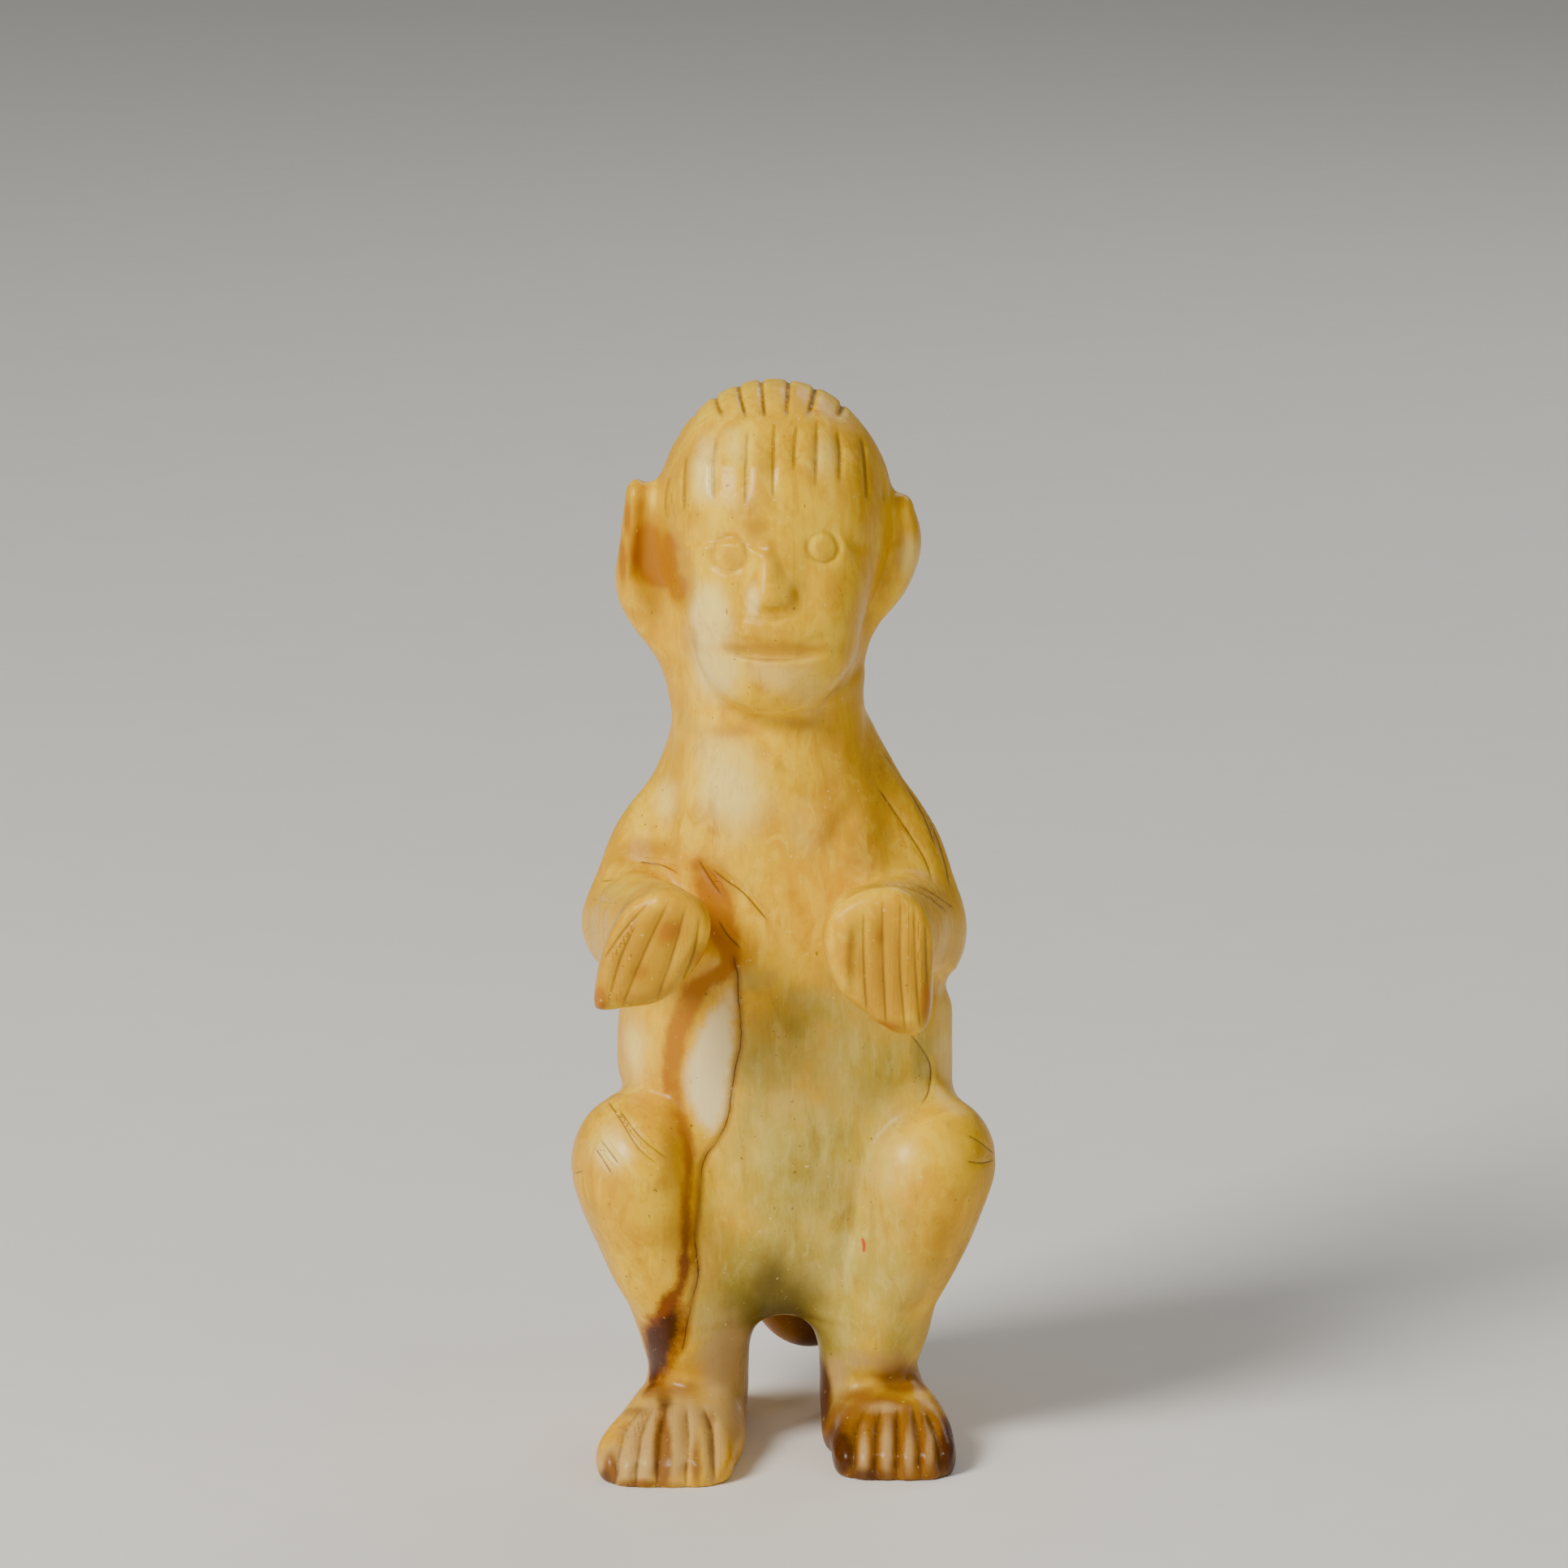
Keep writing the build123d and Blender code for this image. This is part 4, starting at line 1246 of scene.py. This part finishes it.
# Layers that a noise lays: the noise, its values where the colour starts and is full, its strength
GROUND_LAYERS = (
    ("clouds", (0.42, 0.58), 1.0, BUTTER),
    ("small_clouds", (0.5, 0.66), 0.6, GOLD),
    ("mottles", (0.5, 0.64), 0.65, SUNNY),
    ("mottles", (0.47, 0.33), 0.4, GOLD),
)
MIST = ((0.4, 0.62), (0.0, 0.45))
DEEP_STREAKS = (0.45, 0.65)
SPECK_LAYERS = (
    ("specks", (0.7, 0.76), 0.5, CREAM),
    ("pits", (0.29, 0.24), 0.6, FILL_BROWN),
)

# Layers that are painted: the painted value, how far the ragged and the wandering noise fray it, its
# values where the colour starts and is full, its strength
SPREAD = (0.35, 0.9)
SOFT = (0.1, 0.9)
FIRM = (0.2, 0.8)
SIDE_SHADE_AND_PALE_LAYERS = (
    # Painted shade at the sides, deeper gold where the surface turns sideways
    ("side", SPREAD, SOFT, 0.7, GOLD),
    # Pale stone, and painted highlights on the lit viewer's left of the face and on the knees
    ("pale", SPREAD, SOFT, 0.85, CREAM),
)
WARM_LAYERS = (
    # Painted shade under the belly, over the arch between the legs, where the strongest spots lie
    ("olive", (0.0, 0.0), (0.7, 1.9), 0.92, ARCH_SHADE),
    # Tan stone, and painted shade in the mouth, beside the nose, in the eye sockets and under the chin
    ("tan", SPREAD, SOFT, 0.8, TAN),
    ("brown", SPREAD, SOFT, 0.9, BROWN),
    # Beige stone, and painted highlights on the ridges of the viewer-right toes
    ("beige", SPREAD, FIRM, 0.85, BEIGE),
    ("stripes", SPREAD, FIRM, 0.85, BROWN),
    ("orange", SPREAD, FIRM, 0.95, AMBER),
    ("orange", (0.0, 1.2), (0.7, 1.1), 0.95, ORANGE),
    ("cream", (1.6, 2.0), (0.25, -0.9), 0.9, MILKY),
    ("vein", (1.2, 0.0), (1.1, 0.0), 0.5, GOLD),
)
VEIN_LAYER = ("vein", (1.2, 0.0), (0.35, -0.3), 0.92)
VEIN_CLOUDS = (0.35, 0.5)
DARK_LAYERS = (
    ("dark", SPREAD, FIRM, 0.92, DARK_BROWN),
    ("ankle", (1.6, 0.8), (0.9, -0.1), 0.75, RUSSET),
    ("ankle", (1.6, 0.8), (0.15, -0.6), 0.95, DARK_BROWN),
)

# Lines: how they fray, where their dirt starts and is full, and how the small clouds thin it
CRACK_LINE = (0.06, 0.02)
CRACK_CLOUDS = ((0.38, 0.56), (0.2, 0.9))
RUST = ((0.5, 0.0), (0.0, 0.55))
INK_LINE = (1.3, 0.4)
INK_CLOUDS = ((0.3, 0.6), (0.55, 1.0))
FILL_CLOUDS = ((0.3, 0.6), (0.35, 0.8))
FILL = ((0.15, 0.75), (0.0, 0.6))
FLECK = (0.4, 0.8)

# Polish: a dull rubbed stone, duller along streaks and in filled cuts
WORN_STREAKS = ((0.35, 0.7), (0.26, 0.44))
FILL_ROUGHNESS = 0.4
SURFACE = {
    "IOR": 1.55,
    "Specular IOR Level": 0.2,
    "Subsurface Weight": 0.45,
    "Subsurface Radius": (1.0, 0.80, 0.35),
    "Subsurface Scale": 0.0007,
}
MARKS_SHARE = 0.5
DENTS_SHARE = 0.6
RELIEF_STRENGTH = 0.35
RELIEF_HEIGHT = 0.00012


class Jade(Recipe):
    """The stone's material, laid layer over layer."""

    def __init__(self):
        super().__init__("jade")
        self.noises = {name: self.noise(*sizes) for name, sizes in NOISES.items()}
        self.small_clouds = self.noises["small_clouds"]
        self.frays = [self.plus(self.noises[name], -0.5) for name in ("ragged", "wander")]
        self.colour = HONEY

    def cover(self, share, colour):
        self.colour = self.mix(share, self.colour, colour)

    def scatter(self, layers):
        for name, limits, strength, colour in layers:
            self.cover(self.between(self.noises[name], limits, (0.0, strength)), colour)

    def painted(self, name, frays, limits, strength):
        """How strongly a painted layer shows, with its edge frayed."""
        value = self.value(name)
        for fray, share in zip(self.frays, frays):
            if share:
                value = self.plus(value, self.times(fray, share))
        return self.between(value, limits, (0.0, strength))

    def paint(self, layers):
        for *layer, colour in layers:
            self.cover(self.painted(*layer), colour)

    def lay_ground(self):
        self.scatter(GROUND_LAYERS)
        self.paint(SIDE_SHADE_AND_PALE_LAYERS)
        mist = self.mix(self.between(self.small_clouds, *MIST), OLIVE, MIST_GREEN)
        self.cover(self.painted("olive", SPREAD, SOFT, 0.92), mist)
        streaks = self.between(self.noises["streaks"], DEEP_STREAKS)
        self.cover(self.times(self.painted("olive", SPREAD, FIRM, 0.3), streaks), DEEP_OLIVE)
        thread = self.mix(self.painted("olive", SPREAD, SOFT, 1.0), SUNNY, MIST_GREEN)
        self.scatter((
            ("fibres", (0.5, 0.7), 0.26, thread),
            ("fibres", (0.46, 0.32), 0.2, BROWN),
            ("fine_streaks", (0.51, 0.68), 0.34, thread),
            ("fine_streaks", (0.48, 0.32), 0.22, GOLD),
        ))

    def lay_vein(self):
        colour = self.mix(self.between(self.small_clouds, VEIN_CLOUDS), AMBER, ORANGE)
        colour = self.mix(self.value("vein_depth"), colour, RUSSET)
        self.cover(self.painted(*VEIN_LAYER), colour)

    def from_line(self, name, fray):
        """How far from a line, with its sides frayed by the ragged noise."""
        return self.math("ABSOLUTE", self.plus(self.value(name), self.times(self.frays[0], fray)))

    def lay_crack(self):
        away = self.from_line("crack_side", fray=0.4)
        near = self.value("crack_near")
        crack = self.times(self.between(away, CRACK_LINE), near)
        crack = self.times(crack, self.between(self.small_clouds, *CRACK_CLOUDS))
        self.cover(self.times(self.between(away, *RUST), near), RUSSET)
        self.cover(crack, FILL_BROWN)
        return crack

    def lay_ink(self):
        away = self.from_line("ink_side", fray=1.0)
        ink = self.times(self.between(away, INK_LINE), self.value("ink_near"))
        ink = self.times(ink, self.between(self.small_clouds, *INK_CLOUDS))
        self.cover(ink, FILL_BROWN)
        return ink

    def lay_fill(self):
        fill = self.times(self.value("incised"), self.between(self.small_clouds, *FILL_CLOUDS))
        fill = self.between(fill, *FILL)
        self.cover(fill, FILL_BROWN)
        return fill

    def relief(self, *cuts):
        """The normal over fine marks and dents, with lines cut in."""
        marks = self.times(self.noises["marks"], MARKS_SHARE)
        marks = self.plus(marks, self.times(self.noises["dents"], DENTS_SHARE))
        for cut in cuts:
            marks = self.math("SUBTRACT", marks, cut)
        sizes = {"Strength": RELIEF_STRENGTH, "Distance": RELIEF_HEIGHT}
        return self.made("ShaderNodeBump", {"Height": marks, **sizes}, "Normal")


def jade_material():
    jade = Jade()
    jade.lay_ground()
    jade.paint(WARM_LAYERS)
    jade.lay_vein()
    jade.paint(DARK_LAYERS)
    crack = jade.lay_crack()
    ink = jade.lay_ink()
    fill = jade.lay_fill()
    jade.scatter(SPECK_LAYERS)
    jade.cover(jade.between(jade.value("fleck"), FLECK), RED)
    worn = jade.between(jade.noises["streaks"], *WORN_STREAKS)
    worn = jade.plus(worn, jade.times(fill, FILL_ROUGHNESS))
    relief = jade.relief(ink, crack)
    jade.put(jade.shader, {"Base Color": jade.colour, "Roughness": worn, "Normal": relief, **SURFACE})
    return jade.material


FLOOR_GRAIN = (160, 5, 0.6)
FLOOR_GRAIN_LIMITS = (0.3, 0.7)
FLOOR_GRAIN_STRENGTH = 0.25
FLOOR_PALE = (0.88, 0.87, 0.85)
FLOOR_GREY = (0.82, 0.81, 0.79)
FLOOR_ROUGHNESS = 0.75


def floor_material():
    floor = Recipe("pale_floor")
    grain = floor.between(floor.noise(*FLOOR_GRAIN), FLOOR_GRAIN_LIMITS, (0.0, FLOOR_GRAIN_STRENGTH))
    colour = floor.mix(grain, FLOOR_PALE, FLOOR_GREY)
    floor.put(floor.shader, {"Base Color": colour, "Roughness": FLOOR_ROUGHNESS})
    return floor.material


FLOOR_HALF = 3.0


def make_floor():
    mesh = bpy.data.meshes.new("studio_floor")
    ends = (-FLOOR_HALF, FLOOR_HALF)
    corners = [(across, along, 0) for along in ends for across in ends]
    mesh.from_pydata(corners, [], [(0, 1, 3, 2)])
    mesh.materials.append(floor_material())
    floor = bpy.data.objects.new("studio_floor", mesh)
    bpy.context.scene.collection.objects.link(floor)


SENSOR = 36.0
CLIP_START = 0.01
CLIP_END = 50


def make_camera():
    data = bpy.data.cameras.new("photo_camera")
    data.sensor_width = SENSOR
    data.lens = PIXELS_PER_MM * CAMERA_DISTANCE / PHOTO_PIXELS * SENSOR
    data.clip_start = CLIP_START
    data.clip_end = CLIP_END
    camera = bpy.data.objects.new("photo_camera", data)
    back = Vector((0, -math.cos(CAMERA_ELEVATION), math.sin(CAMERA_ELEVATION)))
    aim = Vector(CAMERA_AIM * FIT * MM + ORIGIN)
    camera.location = aim + back * CAMERA_DISTANCE * FIT * MM
    camera.rotation_mode = "QUATERNION"
    camera.rotation_quaternion = (-back).to_track_quat("-Z", "Y")
    bpy.context.scene.collection.objects.link(camera)
    bpy.context.scene.camera = camera


# Lamps look at a point over the middle of the feet. Each has its place and size in metres and watts.
LIT_POINT = Vector((0, 0, 0.04))
LAMPS = {
    "key": ((-0.44, -0.42, 0.46), (0.26, 0.26), 6.9, (1.0, 0.96, 0.88)),
    "fill": ((0.55, -0.35, 0.3), (0.5, 0.5), 0.7, (1.0, 0.98, 0.94)),
    "back": ((0.25, 0.5, 0.5), (0.4, 0.3), 0.9, (1.0, 0.98, 0.95)),
}
SKY = {"Color": (1.0, 0.98, 0.95, 1), "Strength": 0.2}


def make_lamp(name, place, size, watts, tint):
    data = bpy.data.lights.new(name, "AREA")
    data.shape = "RECTANGLE"
    data.size, data.size_y = size
    data.energy = watts
    data.color = tint
    lamp = bpy.data.objects.new(name, data)
    lamp.location = place
    lamp.rotation_mode = "QUATERNION"
    lamp.rotation_quaternion = (LIT_POINT - lamp.location).to_track_quat("-Z", "Y")
    bpy.context.scene.collection.objects.link(lamp)


def make_light():
    for name, lamp in LAMPS.items():
        make_lamp(name, *lamp)
    world = bpy.data.worlds.new("studio")
    bpy.context.scene.world = world
    world.use_nodes = True
    for name, value in SKY.items():
        world.node_tree.nodes["Background"].inputs[name].default_value = value


make_camera()
make_floor()
make_light()
monkey = make_stone(jade_material())
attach(monkey, "root")
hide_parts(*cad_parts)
